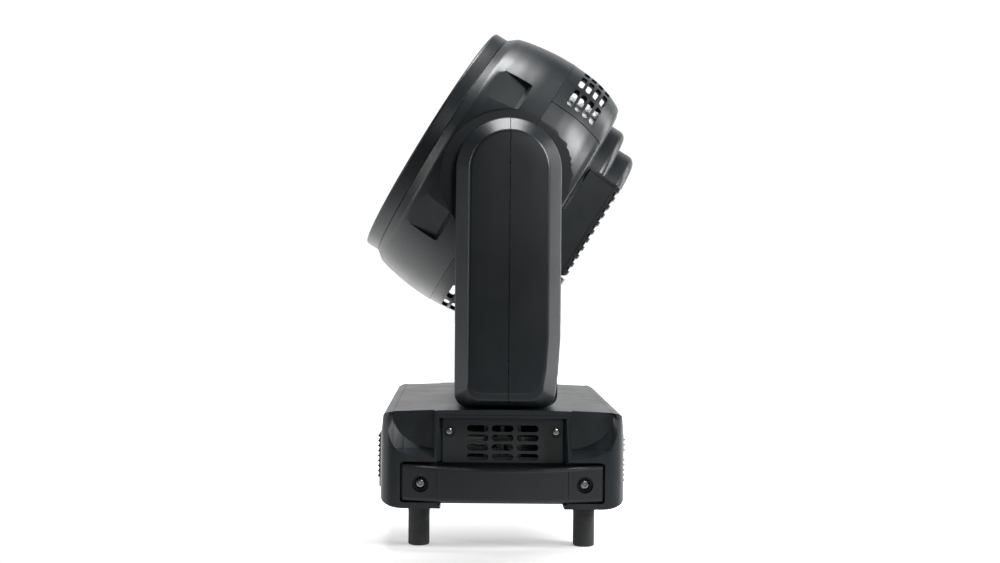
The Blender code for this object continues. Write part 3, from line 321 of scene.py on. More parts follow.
def gathered(objects):
    """One object that holds the meshes of several separate ones."""
    bm = bmesh.new()
    for obj in objects:
        bm.from_mesh(obj.data)
        bpy.data.objects.remove(obj, do_unlink=True)
    return from_bmesh("gathered", bm, False)


def shifted(obj, matrix):
    """Move a mesh inside its object."""
    obj.data.transform(matrix)
    if matrix.determinant() < 0:
        obj.data.flip_normals()
    return obj


def soften(obj, width, segments=2, angle=38):
    """Round the sharp edges and shade the rest smooth."""
    bm = bmesh.new()
    bm.from_mesh(obj.data)
    bmesh.ops.remove_doubles(bm, verts=bm.verts, dist=2e-6)
    bmesh.ops.dissolve_degenerate(bm, edges=bm.edges, dist=2e-6)
    bm.to_mesh(obj.data)
    bm.free()
    if width > 0:
        bevel = obj.modifiers.new("soft_edges", "BEVEL")
        bevel.width = width
        bevel.segments = segments
        bevel.limit_method = "ANGLE"
        bevel.angle_limit = math.radians(angle)
        baked(obj)
    obj.data.shade_smooth()
    obj.data.set_sharp_from_angle(angle=math.radians(angle))
    weighted = obj.modifiers.new("face_weight", "WEIGHTED_NORMAL")
    weighted.keep_sharp = True
    return obj


def piece(obj, name, body, slot, replaces=(), place=STILL, finish=None):
    """Name a shape, set it in place, and let it ride on its body.

    Its material is its slot's, unless a finish is given.
    """
    shifted(obj, place)
    obj.name = name
    obj.data.name = name
    obj.data.materials.clear()
    obj.data.materials.append(finish or SLOT_FINISHES[slot])
    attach(obj, body)
    if replaces:
        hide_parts(*replaces)
    return obj

# ----------------------------------------------------------------- materials


class Nodes:
    """A small helper that adds and links the nodes of a material or a world."""

    def __init__(self, owner, shader="Principled BSDF"):
        owner.use_nodes = True
        self.owner = owner
        self.tree = owner.node_tree
        self.shader = self.tree.nodes[shader]
        self.coordinates = self.add("TexCoord")
        self.place = self.coordinates.outputs["Object"]

    def add(self, kind, **values):
        """A node of a kind, with inputs and settings given by name."""
        node = self.tree.nodes.new("ShaderNode" + kind)
        for key, value in values.items():
            if key in node.inputs:
                node.inputs[key].default_value = value
            else:
                setattr(node, key, value)
        return node

    def link(self, source, target):
        """Join two sockets."""
        self.tree.links.new(source, target)

    def feed(self, **sources):
        """Set the shader's inputs, spelt with underscores, from sockets or plain values."""
        for key, source in sources.items():
            target = self.shader.inputs[key.replace("_", " ")]
            if isinstance(source, bpy.types.NodeSocket):
                self.link(source, target)
            else:
                target.default_value = source

    def noise(self, scale, detail=3.0, roughness=0.55):
        """A noise pattern fixed to the object, in cycles per metre."""
        node = self.add("TexNoise", Scale=scale, Detail=detail, Roughness=roughness)
        self.link(self.place, node.inputs["Vector"])
        return node.outputs["Fac"]

    def spread(self, value, low, high, from_low=0.3, from_high=0.7):
        """A value mapped from one range to another."""
        ends = {"From Min": from_low, "From Max": from_high, "To Min": low, "To Max": high}
        node = self.add("MapRange", **ends)
        self.link(value, node.inputs["Value"])
        return node.outputs["Result"]

    def blend(self, factor, first, second):
        """A colour between two, by a factor."""
        node = self.add("Mix", data_type="RGBA")
        self.link(factor, node.inputs["Factor"])
        for socket, colour in ((node.inputs[6], first), (node.inputs[7], second)):
            if isinstance(colour, tuple):
                socket.default_value = (*colour, 1)
            else:
                self.link(colour, socket)
        return node.outputs[2]

    def combine(self, operation, first, second):
        """Two values added or multiplied."""
        node = self.add("Math", operation=operation)
        self.link(first, node.inputs[0])
        self.link(second, node.inputs[1])
        return node.outputs[0]

    def edges(self, start=0.52, end=0.6):
        """A mask of convex edges, where an edge highlight is painted."""
        return self.spread(self.add("NewGeometry").outputs["Pointiness"], 0, 1, start, end)

    def bump(self, height, distance, strength=1.0):
        """Small relief from a height pattern."""
        node = self.add("Bump", Distance=distance, Strength=strength)
        self.link(height, node.inputs["Height"])
        self.feed(Normal=node.outputs["Normal"])


def satin_plastic(name, colour, roughness, grain=1500, relief=0.00004, edge_highlight=0.35):
    """Spark-textured moulded plastic, its convex edges lightened in patches as a painted highlight.
    """
    mat = Nodes(bpy.data.materials.new(name))
    light = tuple(min(1.0, value * 1.25 + 0.001) for value in colour)
    dark = tuple(value * 0.85 for value in colour)
    # painted highlight: convex edges lightened towards twice the base colour, in noisy patches
    highlight_colour = tuple(min(1.0, value * 2.0 + 0.01) for value in colour)
    tone = mat.blend(mat.spread(mat.noise(9, 2.0), 0, 1), dark, light)
    highlight_mask = mat.combine("MULTIPLY", mat.edges(), mat.spread(mat.noise(55, 4.0), 0, edge_highlight))
    patches = mat.spread(mat.noise(24, 4.0), roughness - 0.035, roughness + 0.035)
    specks = mat.spread(mat.noise(grain * 0.6, 2.0), -0.03, 0.03)
    mat.feed(Base_Color=mat.blend(highlight_mask, tone, highlight_colour), Roughness=mat.combine("ADD", patches, specks),
             Specular_IOR_Level=0.4)
    mat.bump(mat.noise(grain, 3.0, 0.6), relief, 0.55)
    return mat.owner


def soft_rubber(name, colour):
    """Matt moulded rubber with dust in its grain."""
    mat = Nodes(bpy.data.materials.new(name))
    dust = tuple(value * 2.2 + 0.004 for value in colour)
    mat.feed(Base_Color=mat.blend(mat.spread(mat.noise(140, 5.0), 0, 0.5, 0.45, 0.8), colour, dust),
             Roughness=mat.spread(mat.noise(60), 0.66, 0.8))
    mat.bump(mat.noise(900, 4.0), 0.00006, 0.6)
    return mat.owner


def metal(name, colour, roughness, stretch=(1, 1, 1), metallic=1.0):
    """Bare or plated metal with a fine brushed or cast grain."""
    mat = Nodes(bpy.data.materials.new(name))
    mapping = mat.add("Mapping", Scale=stretch)
    mat.link(mat.place, mapping.inputs["Vector"])
    mat.place = mapping.outputs["Vector"]
    dull = tuple(value * 0.72 for value in colour)
    mat.feed(Base_Color=mat.blend(mat.spread(mat.noise(40, 4.0), 0, 1), dull, colour),
             Roughness=mat.spread(mat.noise(300, 4.0), roughness - 0.07, roughness + 0.07),
             Metallic=metallic)
    mat.bump(mat.noise(700, 3.0), 0.00002, 0.5)
    return mat.owner


def clear_acrylic(name):
    """Clear lens plastic with the slightest swirl in its surface."""
    mat = Nodes(bpy.data.materials.new(name))
    mat.feed(Base_Color=(0.93, 0.96, 0.99, 1), Transmission_Weight=0.88, IOR=1.49,
             Roughness=mat.spread(mat.noise(120, 3.0), 0.02, 0.07))
    mat.bump(mat.noise(90, 2.0), 0.00003, 0.5)
    return mat.owner


def dark_glass(name):
    """A dark, glossy display window with faint smears."""
    mat = Nodes(bpy.data.materials.new(name))
    mat.feed(Base_Color=mat.blend(mat.spread(mat.noise(30), 0, 1), (0.006, 0.008, 0.012),
                                  (0.012, 0.016, 0.024)),
             Roughness=mat.spread(mat.noise(60, 5.0), 0.05, 0.16), Coat_Weight=0.6)
    mat.bump(mat.noise(14), 0.00002, 0.3)
    return mat.owner


def circuit_board(name):
    """Solder mask with copper tracks showing through as relief."""
    mat = Nodes(bpy.data.materials.new(name))
    brick = mat.add("TexBrick", Scale=180.0)
    mat.link(mat.place, brick.inputs["Vector"])
    tracks = brick.outputs["Fac"]
    mat.feed(Base_Color=mat.blend(mat.spread(tracks, 0, 1, 0, 1), (0.012, 0.075, 0.035),
                                  (0.03, 0.14, 0.06)),
             Roughness=mat.spread(mat.noise(80), 0.3, 0.45))
    mat.bump(tracks, 0.00005, 0.4)
    return mat.owner


BLACK = (0.0046, 0.007, 0.0086)
smooth_plastic = satin_plastic("smooth_black_plastic", (0.009, 0.01, 0.011), 0.34, 2200, 0.00002)
grille_plastic = satin_plastic("grille_plastic", (0.008, 0.01, 0.011), 0.5, 1200, 0.00006)
# the handle's convex edges get the strongest painted highlight
handle_plastic = satin_plastic("handle_plastic", (0.007, 0.009, 0.011), 0.42, 1500, 0.00004, 0.6)
socket_black = satin_plastic("socket_black", (0.014, 0.014, 0.015), 0.34, 1800, 0.00002)
chip_yellow = satin_plastic("light_source", (0.75, 0.6, 0.22), 0.35, 900, 0.00002)
dull_zinc = metal("dull_zinc", (0.1, 0.1, 0.11), 0.5)
gold_pin = metal("contact_gold", (0.75, 0.55, 0.22), 0.28)

SLOT_FINISHES = {
    "black_plastic": satin_plastic("black_plastic", BLACK, 0.36),
    "black_steel": satin_plastic("black_coated_steel", (0.01, 0.011, 0.012), 0.55, 800, 0.00008),
    "button_plastic": satin_plastic("button_grey", (0.09, 0.09, 0.1), 0.42, 1800, 0.00002),
    "power_in_blue": satin_plastic("inlet_blue", (0.02, 0.1, 0.42), 0.36, 1500, 0.00002),
    "power_out_grey": satin_plastic("outlet_grey", (0.4, 0.41, 0.42), 0.38, 1500, 0.00002),
    "fan_plastic": satin_plastic("fan_black", (0.01, 0.01, 0.011), 0.4, 1500, 0.00002),
    "socket_black": socket_black,
    "rubber": soft_rubber("foot_rubber", (0.008, 0.0085, 0.009)),
    "belt_rubber": soft_rubber("drive_belt", (0.012, 0.012, 0.012)),
    "bolt_steel": metal("bolt_metal", (0.34, 0.34, 0.35), 0.24),
    "zinc_steel": metal("zinc_plate", (0.52, 0.53, 0.55), 0.36),
    "aluminium": metal("bare_aluminium", (0.86, 0.87, 0.88), 0.34, (1, 1, 8)),
    "motor_steel": metal("motor_metal", (0.09, 0.09, 0.1), 0.42, metallic=0.6),
    "lens_clear": clear_acrylic("lens_acrylic"),
    "display": dark_glass("display_glass"),
    "circuit_board": circuit_board("board_green"),
}


def finish_cad_nodes():
    """Give every CAD node the procedural finish of its own slot."""
    for entry in frame["record"]["subparts"]:
        mesh = frame["nodes"][entry["node"]].data
        mesh.materials.clear()
        mesh.materials.append(SLOT_FINISHES[entry["material_slot"]])
    frame["nodes"]["power_supply"].data.materials[0] = dull_zinc


# --------------------------------------------------------- camera and studio

CAMERA_PLACE = (-0.041, -1.7, 0.302)
CAMERA_ROLL = math.radians(-0.5)
CAMERA_LENS = 51.0
CAMERA_SHIFT = (0.034, -0.0135)
WALL_LIGHT = 1.05        # brightness of the white wall behind
ROOM_LIGHT = 0.06        # brightness of the room all round
WALL_EDGE = 0.72         # where the wall's light starts, by how far a ray points to +Y
WALL_FULL = 0.84
FLOOR_GLOW = 1.1
FLOOR_DARK_Y = -0.24     # the floor starts to glow here, and glows fully at the next
FLOOR_BRIGHT_Y = 0.02
FLOOR_NEAR_Y = -0.6     # the paper turns from grey to pale between these
FLOOR_PALE_Y = -0.12
LIGHT_TARGET = Vector((0, 0, 0.3))
LIGHTS = (("key_right", (1.7, -0.9, 1.3), (0.3, 1.0), 62),
          ("rim_right", (1.5, 0.7, 0.6), (0.4, 1.6), 16),
          ("strip_left", (-1.7, -0.6, 0.7), (0.2, 1.6), 12),
          ("overhead", (0.0, 0.1, 2.0), (1.0, 0.5), 42),
          ("front_right", (0.6, -2.6, 1.0), (0.5, 0.5), 9))


def build_camera():
    """The camera looks straight along the tilt axis, a little off centre."""
    data = bpy.data.cameras.new("camera")
    data.lens = CAMERA_LENS
    data.shift_x = CAMERA_SHIFT[0]
    data.shift_y = CAMERA_SHIFT[1]
    camera = linked("camera", data)
    camera.location = CAMERA_PLACE
    camera.rotation_euler = (math.pi / 2, CAMERA_ROLL, 0)
    bpy.context.scene.camera = camera


def soft_light(name, place, size, power):
    """A large soft box aimed at the object."""
    data = bpy.data.lights.new(name, "AREA")
    data.shape = "RECTANGLE"
    data.size = size[0]
    data.size_y = size[1]
    data.energy = power
    lamp = linked(name, data)
    lamp.location = place
    direction = LIGHT_TARGET - Vector(place)
    lamp.rotation_euler = direction.to_track_quat("-Z", "Y").to_euler()


def build_studio():
    """A pale floor, a white wall of light behind it and soft boxes round it."""
    sky = Nodes(bpy.data.worlds.new("studio"), "Background")
    ray = sky.add("SeparateXYZ")
    sky.link(sky.coordinates.outputs["Generated"], ray.inputs["Vector"])
    sky.feed(Color=(1.0, 1.0, 1.0, 1), Strength=sky.spread(
        ray.outputs["Y"], ROOM_LIGHT, WALL_LIGHT, WALL_EDGE, WALL_FULL))
    bpy.context.scene.world = sky.owner
    bpy.context.scene.view_settings.view_transform = "Standard"

    bm = bmesh.new()
    bmesh.ops.create_circle(bm, cap_ends=True, segments=64, radius=6.0)
    floor = from_bmesh("floor", bm)
    paper = Nodes(bpy.data.materials.new("floor_paper"))
    depth = paper.add("SeparateXYZ")
    paper.link(paper.place, depth.inputs["Vector"])
    pale = paper.blend(paper.spread(paper.noise(3), 0, 1), (0.78, 0.78, 0.78), (0.82, 0.82, 0.82))
    near = paper.spread(depth.outputs["Y"], 0, 1, FLOOR_NEAR_Y, FLOOR_PALE_Y)
    glow = paper.spread(depth.outputs["Y"], 0, FLOOR_GLOW, FLOOR_DARK_Y, FLOOR_BRIGHT_Y)
    paper.feed(Base_Color=paper.blend(near, (0.2, 0.2, 0.2), pale), Roughness=0.85,
               Specular_IOR_Level=0.1, Emission_Color=(1.0, 1.0, 1.0, 1), Emission_Strength=glow)
    floor.data.materials.append(paper.owner)
    for light in LIGHTS:
        soft_light(*light)


# ---------------------------------------------------------------------- yoke

ARM_INNER_Y = 0.159
ARM_SHOULDER_Y = 0.172
ARM_OUTER_Y = 0.1905
ARM_HALF_X = 0.0572
ARM_ARC_Z = 0.4078
ARM_BOTTOM = 0.152
ARM_CHAMFER = 0.015
ARM_TAPER = 0.005
ARM_TAPER_Z = 0.227
ARM_TOE_LENGTH = 0.014
ARM_TOE_HEIGHT = 0.016
ARM_WALL = 0.0025
ARM_CUT_Y = 0.15         # cutters of the inner face start here
ARM_SHAFT_HOLE = 0.026
ARM_SCREW_X = 0.036
ARM_SCREW_HEIGHTS = (0.245, 0.335)
ARM_SCREW_Y = 0.1605
SEAM = 0.0002
SEAM_X = 0.001
REAR_HALF_PROUD = 0.0006
BRIDGE_HALF_X = 0.055
BRIDGE_BOTTOM = 0.1525
BRIDGE_TOP = 0.2135
BRIDGE_SCREW_Z = 0.2123


def screw_head(radius, place, height=0.0016):
    """A domed cross-head screw, its top on local +Z, seated at the place."""
    profile = [(0, 0), (radius, 0), (radius, height * 0.35), (radius * 0.86, height * 0.78),
               (radius * 0.5, height * 0.97), (0, height)]
    head = turned(profile, 28)
    slot = radius * 0.16
    for degrees in (0, 90):
        blade = box((-radius * 0.55, -slot, height * 0.35), (radius * 0.55, slot, height * 1.5))
        cut(head, shifted(blade, turn(degrees, "Z")))
    return shifted(head, place)


def build_screws(name, body, radius, places, height=0.0016, frame=STILL):
    """A set of like screws, as one piece."""
    heads = [screw_head(radius, place, height) for place in places]
    piece(soften(gathered(heads), 0), name, body, "bolt_steel", (), frame)


def arm_ring(y, inset, end):
    """One closed outline of the arm, stepped in by an inset, at a place along y."""
    half = ARM_HALF_X - inset
    part_in = min(inset / ARM_CHAMFER, 1.0)
    low = ARM_BOTTOM + ARM_CHAMFER * (1 - math.sqrt(1 - part_in ** 2))
    low += max(inset - ARM_CHAMFER, 0)
    toe_z = low + ARM_TOE_HEIGHT
    outline = arc(0, ARM_ARC_Z, half, 0, 180, 64)
    outline += [(-half, z) for z in (0.35, 0.29, ARM_TAPER_Z)]
    for x, start in ((-half + ARM_TOE_LENGTH, 180), (half - ARM_TOE_LENGTH - ARM_TAPER, 270)):
        outline += arc(x, toe_z, ARM_TOE_LENGTH, start, start + 90, 8, ARM_TOE_HEIGHT)
    outline += [(half - ARM_TAPER * 0.45, 0.5 * (low + ARM_TAPER_Z))]
    outline += [(half, z) for z in (ARM_TAPER_Z, 0.29, 0.35)]
    return [(x, end * y, z) for x, z in outline]


def arm_form(end, wall):
    """The arm's whole outer form, or its room when a wall is given."""
    corners = [(ARM_INNER_Y, 0.001, 0), (ARM_INNER_Y + 0.001, 0, 0),
               (ARM_SHOULDER_Y, 0, 0.006), (ARM_OUTER_Y, ARM_CHAMFER, 0.006),
               (ARM_OUTER_Y + 0.0009, 0.036, 0)]
    if wall:
        corners = [(ARM_INNER_Y + wall, wall, 0), (ARM_SHOULDER_Y - wall * 0.4, wall, 0),
                   (ARM_OUTER_Y - wall, ARM_CHAMFER + wall * 0.6, 0)]
    stations = filleted(corners, steps=6)
    return loft([arm_ring(y, inset, end) for y, inset in stations])


def build_arm(end, suffix):
    """The two halves of an arm's cover, and the screws on its inner face."""
    spots = [(side * ARM_SCREW_X, z) for z in ARM_SCREW_HEIGHTS for side in (-1, 1)]
    start = end * ARM_CUT_Y
    through = end * (ARM_INNER_Y + 0.005)
    shell = cut(arm_form(end, 0), arm_form(end, ARM_WALL))
    cut(shell, box((-0.046, start, 0.158), (0.046, through, 0.2115)),
        rod(ARM_SHAFT_HOLE, (0, TILT_HEIGHT), "Y", start, through, 64))
    for spot in spots:
        cut(shell, rod(0.0035, spot, "Y", start, end * ARM_SCREW_Y, 24),
            rod(0.0017, spot, "Y", start, end * 0.166, 16))
    for name, low, high, proud in (("front", -0.1, SEAM_X - SEAM, 0),
                                   ("rear", SEAM_X + SEAM, 0.1, REAR_HALF_PROUD)):
        half = common(box((low, 0, 0.1), (high, end * 0.25, 0.5)), copy_of(shell))
        shifted(half, move(0, end * proud, 0))
        piece(soften(half, 0.0006, 2, 50), f"look_arm_{suffix}_{name}", "yoke", "black_plastic",
              (f"arm_{suffix}_{name}_cover",), YOKE_FRAME)
    bpy.data.objects.remove(shell, do_unlink=True)
    places = [move(x, end * ARM_SCREW_Y, z) @ turn(90 * end, "X") for x, z in spots]
    build_screws(f"look_arm_{suffix}_screws", "yoke", 0.003, places, frame=YOKE_FRAME)


def build_bridge():
    """The cross-member's cover, open below for the pan drive."""
    height = BRIDGE_TOP - BRIDGE_BOTTOM
    middle = (BRIDGE_TOP + BRIDGE_BOTTOM) / 2
    outlines = [rounded_rect(0, middle, 2 * BRIDGE_HALF_X - 2 * wall, height - 2 * wall,
                             0.012 - wall, 10) for wall in (0, ARM_WALL)]
    half_y = ARM_INNER_Y - CLEARANCE
    cover = prism(outlines, "Y", -half_y, half_y)
    opening = (arc(0, 0, 0.047, 180, 360, 40) + arc(0, 0.062, 0.015, 0, 180, 24))
    cut(cover, prism([opening], "Z", 0.14, 0.158))
    spots = [(x, y) for y in (-0.128, 0.128) for x in (-0.04, 0.04)]
    for spot in spots:
        cut(cover, rod(0.0046, spot, "Z", BRIDGE_SCREW_Z, 0.22, 28))
    for side in (-1, 1):
        cut(cover, box((side * (BRIDGE_HALF_X - 0.0004), -0.16, 0.1795),
                       (side * (BRIDGE_HALF_X + 0.001), 0.16, 0.1801)))
    piece(soften(cover, 0.0005, 2, 50), "look_bridge_cover", "yoke", "black_plastic",
          ("yoke_bridge_cover",), YOKE_FRAME)
    build_screws("look_bridge_screws", "yoke", 0.0036,
                 [move(x, y, BRIDGE_SCREW_Z) for x, y in spots], frame=YOKE_FRAME)


for arm_end, arm_name in ENDS:
    build_arm(arm_end, arm_name)
build_bridge()

# ---------------------------------------------------------------------- head

HEAD_FLAT_Y = 0.156
RECESS_FLOOR_Y = 0.1475
RECESS_RADIUS = 0.0745
HEAD_WALL = 0.003
HEAD_SEAM = 0.0038
HEAD_STEPS = 192
FRONT_PROFILE = [(0.147, 0.0863, 0), (0.1547, 0.0763, 0.012), (0.1579, 0.0645, 0.04),
                 (0.1607, 0.049, 0.15), (0.1633, 0.0285, 0.15), (0.1641, HEAD_SEAM, 0)]
REAR_PROFILE = [(0.1637, HEAD_SEAM - CLEARANCE, 0), (0.1626, -0.016, 0.12),
                (0.1606, -0.033, 0.09), (0.1556, -0.0495, 0.06), (0.15, -0.062, 0.02),
                (0.1465, -0.0675, 0.006), (0.139, -0.07, 0)]
VENT_COLUMNS = (-0.015, -0.0254, -0.0358, -0.0462)
VENT_SLOTS = 7
VENT_PITCH = 14.7
VENT_BORDER = 53.5
POCKET_ANGLES = (58.5, 121.5, 238.5, 301.5)
REAR_BOX_FRONT = -0.0733
REAR_BOX_BACK = -0.1143
REAR_BOX_SCREWS = [(x, y) for x in (-0.05, 0.05) for y in (-0.068, 0.068)]
REAR_BOX_SEAT = REAR_BOX_BACK + 0.0014
REAR_BOX_ROWS = (-0.055, -0.033, -0.011, 0.011, 0.033, 0.055)
REAR_SLOTS = 10
REAR_SLOT_PITCH = 0.0108
LENS_SET_BACK = 0.005
LENS_RADIUS = 0.0218
CARRIER_RADIUS = 0.1318
HEATSINK_RADIUS = 0.1315
FINS_A_SIDE = 21
FIN_PITCH = 0.006
FIN_HALF = 0.0007


def head_cover(shape, name, replaced):
    """A black moulding that rides on the head."""
    piece(shape, name, "head", "black_plastic", (replaced,), HEAD_FRAME)


def flat_sides(wall):
    """The slab between the head's flat sides."""
    y = HEAD_FLAT_Y - wall
    return box((-FAR, -y, -0.15), (FAR, y, 0.12))


def side_recesses(wall):
    """The round recesses facing the arms."""
    floor = RECESS_FLOOR_Y - wall
    return gathered([rod(RECESS_RADIUS + wall, (0, 0), "Y", end * floor, end * FAR, 144)
                     for end in (-1, 1)])


def pocket(angle, wall):
    """A wedge pocket in the front shell, which fades out at its wide front end."""
    rings = []
    for a, half, floor in ((0.083 + wall, 0.0238, 0.1568), (0.0345, 0.0196, 0.1552),
                           (0.029 - wall, 0.019, 0.164)):
        half += wall
        floor -= wall
        rings.append([(floor, -half, a), (0.18, -half - 0.004, a), (0.18, half + 0.004, a),
                      (floor, half, a)])
    return shifted(loft(rings), turn(angle, "Z"))


def tilt_hole():
    """The opening through both sides for the tilt shafts."""
    return rod(0.022, (0, 0), "Y", -FAR, FAR, 72)


def casing_half(profile, inner, before, after, pocket_angles=()):
    """Half of the casing: a turned profile less its room, recesses and pockets.

    The room follows the inner points of the profile, one wall in, between the
    points before and after them.
    """
    outer = filleted(profile, steps=6)
    inner = filleted([(r - HEAD_WALL, a, radius) for r, a, radius in inner], steps=6)
    shell = turned([(0, outer[0][1])] + outer + [(0, outer[-1][1])], HEAD_STEPS)
    room = turned(before + inner + after, HEAD_STEPS)
    for shape, wall in ((shell, 0), (room, HEAD_WALL)):
        common(shape, flat_sides(wall))
        cut(shape, side_recesses(wall), *[pocket(angle, wall) for angle in pocket_angles])
    return cut(shell, room, tilt_hole())


def build_front_shell():
    """The front half of the casing, with its bevelled brow and pockets."""
    before = [(0, 0.1), (0.136, 0.1), (0.136, 0.0832), (0.145, 0.0832)]
    after = [(0.1611, -0.004), (0, -0.004)]
    shell = casing_half(FRONT_PROFILE, FRONT_PROFILE[1:], before, after, POCKET_ANGLES)
    head_cover(soften(shell, 0.0009, 3, 34), "look_head_front", "head_front_shell")


def vent_cutters():
    """Rounded slots for the top and bottom vents."""
    slots = []
    for side in (0, 180):
        for row in range(VENT_SLOTS):
            angle = side + (row - (VENT_SLOTS - 1) / 2) * VENT_PITCH
            for a in VENT_COLUMNS:
                slot = prism([rounded_rect(0, a, 0.033, 0.007, 0.0032, 6)], "X", 0.142, 0.18)
                slots.append(shifted(slot, turn(angle, "Z")))
    return gathered(slots)


def border_groove(angle):
    """A fine groove along the casing, beside a vent."""
    surface = filleted(REAR_PROFILE, steps=6)
    outline = [(radius - 0.0008, a) for radius, a in surface]
    outline += [(0.18, surface[-1][1] - 0.01), (0.18, surface[0][1] + 0.01)]
    return shifted(prism([outline], "Y", -0.0006, 0.0006), turn(angle, "Z"))


def build_rear_shell():
    """The rear half of the casing, with a vent at the top and the bottom."""
    before = [(0, 0.015), (0.1607, 0.015)]
    after = [(0.1385, -0.067), (0.116, -0.067), (0.116, -0.08), (0, -0.08)]
    shell = casing_half(REAR_PROFILE, REAR_PROFILE[:-2], before, after)
    grooves = [border_groove(side + VENT_BORDER * way) for side in (0, 180) for way in (-1, 1)]
    cut(shell, vent_cutters(), gathered(grooves))
    head_cover(soften(shell, 0.0006, 2, 34), "look_head_rear", "head_rear_shell")


def build_rear_steps():
    """The stepped cover behind the casing."""
    outside = filleted([(0, -0.0703, 0), (0.1264, -0.0703, 0), (0.1264, -0.0915, 0.0085),
                        (0.1068, -0.0919, 0.0015), (0.1068, -0.117, 0.0095),
                        (0, -0.117, 0)], steps=7)
    inside = [(0, -0.064), (0.1236, -0.064), (0.1236, -0.0835), (0.1178, -0.0886),
              (0.104, -0.0892), (0.104, -0.1078), (0.097, -0.1144), (0, -0.1144)]
    cover = cut(turned(outside, HEAD_STEPS), turned(inside, HEAD_STEPS))
    cut(cover, box((-0.0608, -0.14, -0.15), (0.0608, 0.14, REAR_BOX_FRONT + CLEARANCE)))
    head_cover(soften(cover, 0.0006, 2, 40), "look_head_steps", "head_rear_cover")


def build_exhaust():
    """The exhaust box across the back, slotted round its rim and middle."""
    stations = ((REAR_BOX_FRONT, 0.0605, 0.12), (-0.1092, 0.059, 0.1182),
                (-0.1119, 0.0583, 0.1173), (-0.1137, 0.0567, 0.1157),
                (REAR_BOX_BACK, 0.0545, 0.1136))
    outer = loft([[(x, y, a) for x, y in rounded_rect(0, 0, 2 * half, 2 * reach, 0.003, 5)]
                  for a, half, reach in stations])
    for end in (-1, 1):
        for side in (-1, 1):
            join(outer, box((side * 0.0562, end * 0.117, -0.108),
                            (side * 0.0585, end * 0.1201, -0.074)))
        join(outer, box((-0.058, end * 0.117, -0.1092), (0.058, end * 0.1194, -0.1072)))
    cut(outer, box((-0.0555, -0.1165, REAR_BOX_BACK + 0.0025), (0.0555, 0.1165, -0.06)))
    slots = []
    for i in range(REAR_SLOTS):
        x = (i - (REAR_SLOTS - 1) / 2) * REAR_SLOT_PITCH
        outline = rounded_rect(x, REAR_BOX_BACK + 0.0005, 0.006, 0.0086, 0.002, 5)
        slots += [prism([outline], "Y", end * 0.078, end * 0.13) for end in (-1, 1)]
    rows = [prism([stadium(0, y, 0.092, 0.006, 10)], "Z", REAR_BOX_BACK - 0.002,
                  REAR_BOX_BACK + 0.005) for y in REAR_BOX_ROWS]
    cut(outer, gathered(slots), gathered(rows))
    for spot in REAR_BOX_SCREWS:
        cut(outer, rod(0.004, spot, "Z", REAR_BOX_BACK - 0.001, REAR_BOX_SEAT, 28))
    head_cover(soften(outer, 0.0006, 2, 42), "look_exhaust_box", "head_exhaust_grille")
    places = [move(x, y, REAR_BOX_SEAT) @ turn(180, "X") for x, y in REAR_BOX_SCREWS]
    build_screws("look_exhaust_screws", "head", 0.0031, places, frame=HEAD_FRAME)


def build_bezel():
    """The ring round the lenses, with a soft front edge and a lip."""
    profile = filleted([(0.134, 0.088, 0.0005), (0.134, 0.1002, 0.001),
                        (0.1372, 0.1035, 0.0012), (0.1463, 0.1035, 0.003),
                        (0.1463, 0.0867, 0.0006), (0.1355, 0.0867, 0.0006)], True, 5)
    head_cover(soften(turned(profile, HEAD_STEPS, ring=True), 0), "look_bezel", "lens_bezel")


def lens_spots():
    """The centres of the nineteen lenses."""
    spots = [(0.0, 0.0)]
    for count, radius in ((6, 0.053), (12, 0.104)):
        for i in range(count):
            angle = 2 * math.pi * i / count
            spots.append((radius * math.cos(angle), radius * math.sin(angle)))
    return spots


def at_lenses(profile, steps, ring=False):
    """A turned shape at every lens."""
    return [shifted(turned(profile, steps, ring), move(x, y, 0)) for x, y in lens_spots()]


def build_optics():
    """A black carrier of nineteen clear lenses over a board of light sources."""
    lens_place = HEAD_FRAME @ move(0, 0, LENS_SET_BACK)
    carrier = disc(CARRIER_RADIUS, 0.064, 0.068, 144)
    cut(carrier, gathered([rod(0.0128, spot, "Z", 0.06, 0.072, 40) for spot in lens_spots()]))
    cup = filleted([(0.013, 0.0665, 0), (0.0245, 0.0665, 0), (0.0245, 0.079, 0.0012),
                    (0.0232, 0.08, 0.0004), (0.0222, 0.079, 0.0004), (0.0212, 0.07, 0),
                    (0.013, 0.0668, 0)], True, 3)
    piece(soften(gathered([carrier] + at_lenses(cup, 48, True)), 0, angle=40), "look_lens_carrier",
          "zoom_plate", "black_plastic", ("zoom_lens_plate",), lens_place, smooth_plastic)
    lens = [(0, 0.064), (0.009, 0.0645), (0.0122, 0.0672), (0.0205, 0.0735),
            (LENS_RADIUS, 0.0788)]
    lens += arc(0, 0.079, LENS_RADIUS, 6, 83, 11, 0.0068) + [(0, 0.0858)]
    piece(soften(gathered(at_lenses(lens, 48)), 0, angle=40), "look_lenses", "zoom_plate",
          "lens_clear", (), lens_place)
    board = disc(0.128, 0.018, 0.0198)
    base = [(0, 0.0198), (0.0085, 0.0198), (0.0085, 0.0212), (0, 0.0212)]
    piece(soften(gathered([board] + at_lenses(base, 6)), 0, angle=30), "look_led_board", "head",
          "circuit_board", ("led_board",), HEAD_FRAME)
    chip = [(0, 0.0212), (0.0042, 0.0212), (0.0042, 0.0222), (0.0034, 0.023), (0.0018, 0.0238),
            (0, 0.024)]
    piece(soften(gathered(at_lenses(chip, 28)), 0, angle=40), "look_light_sources", "head",
          "lens_clear", (), HEAD_FRAME, chip_yellow)


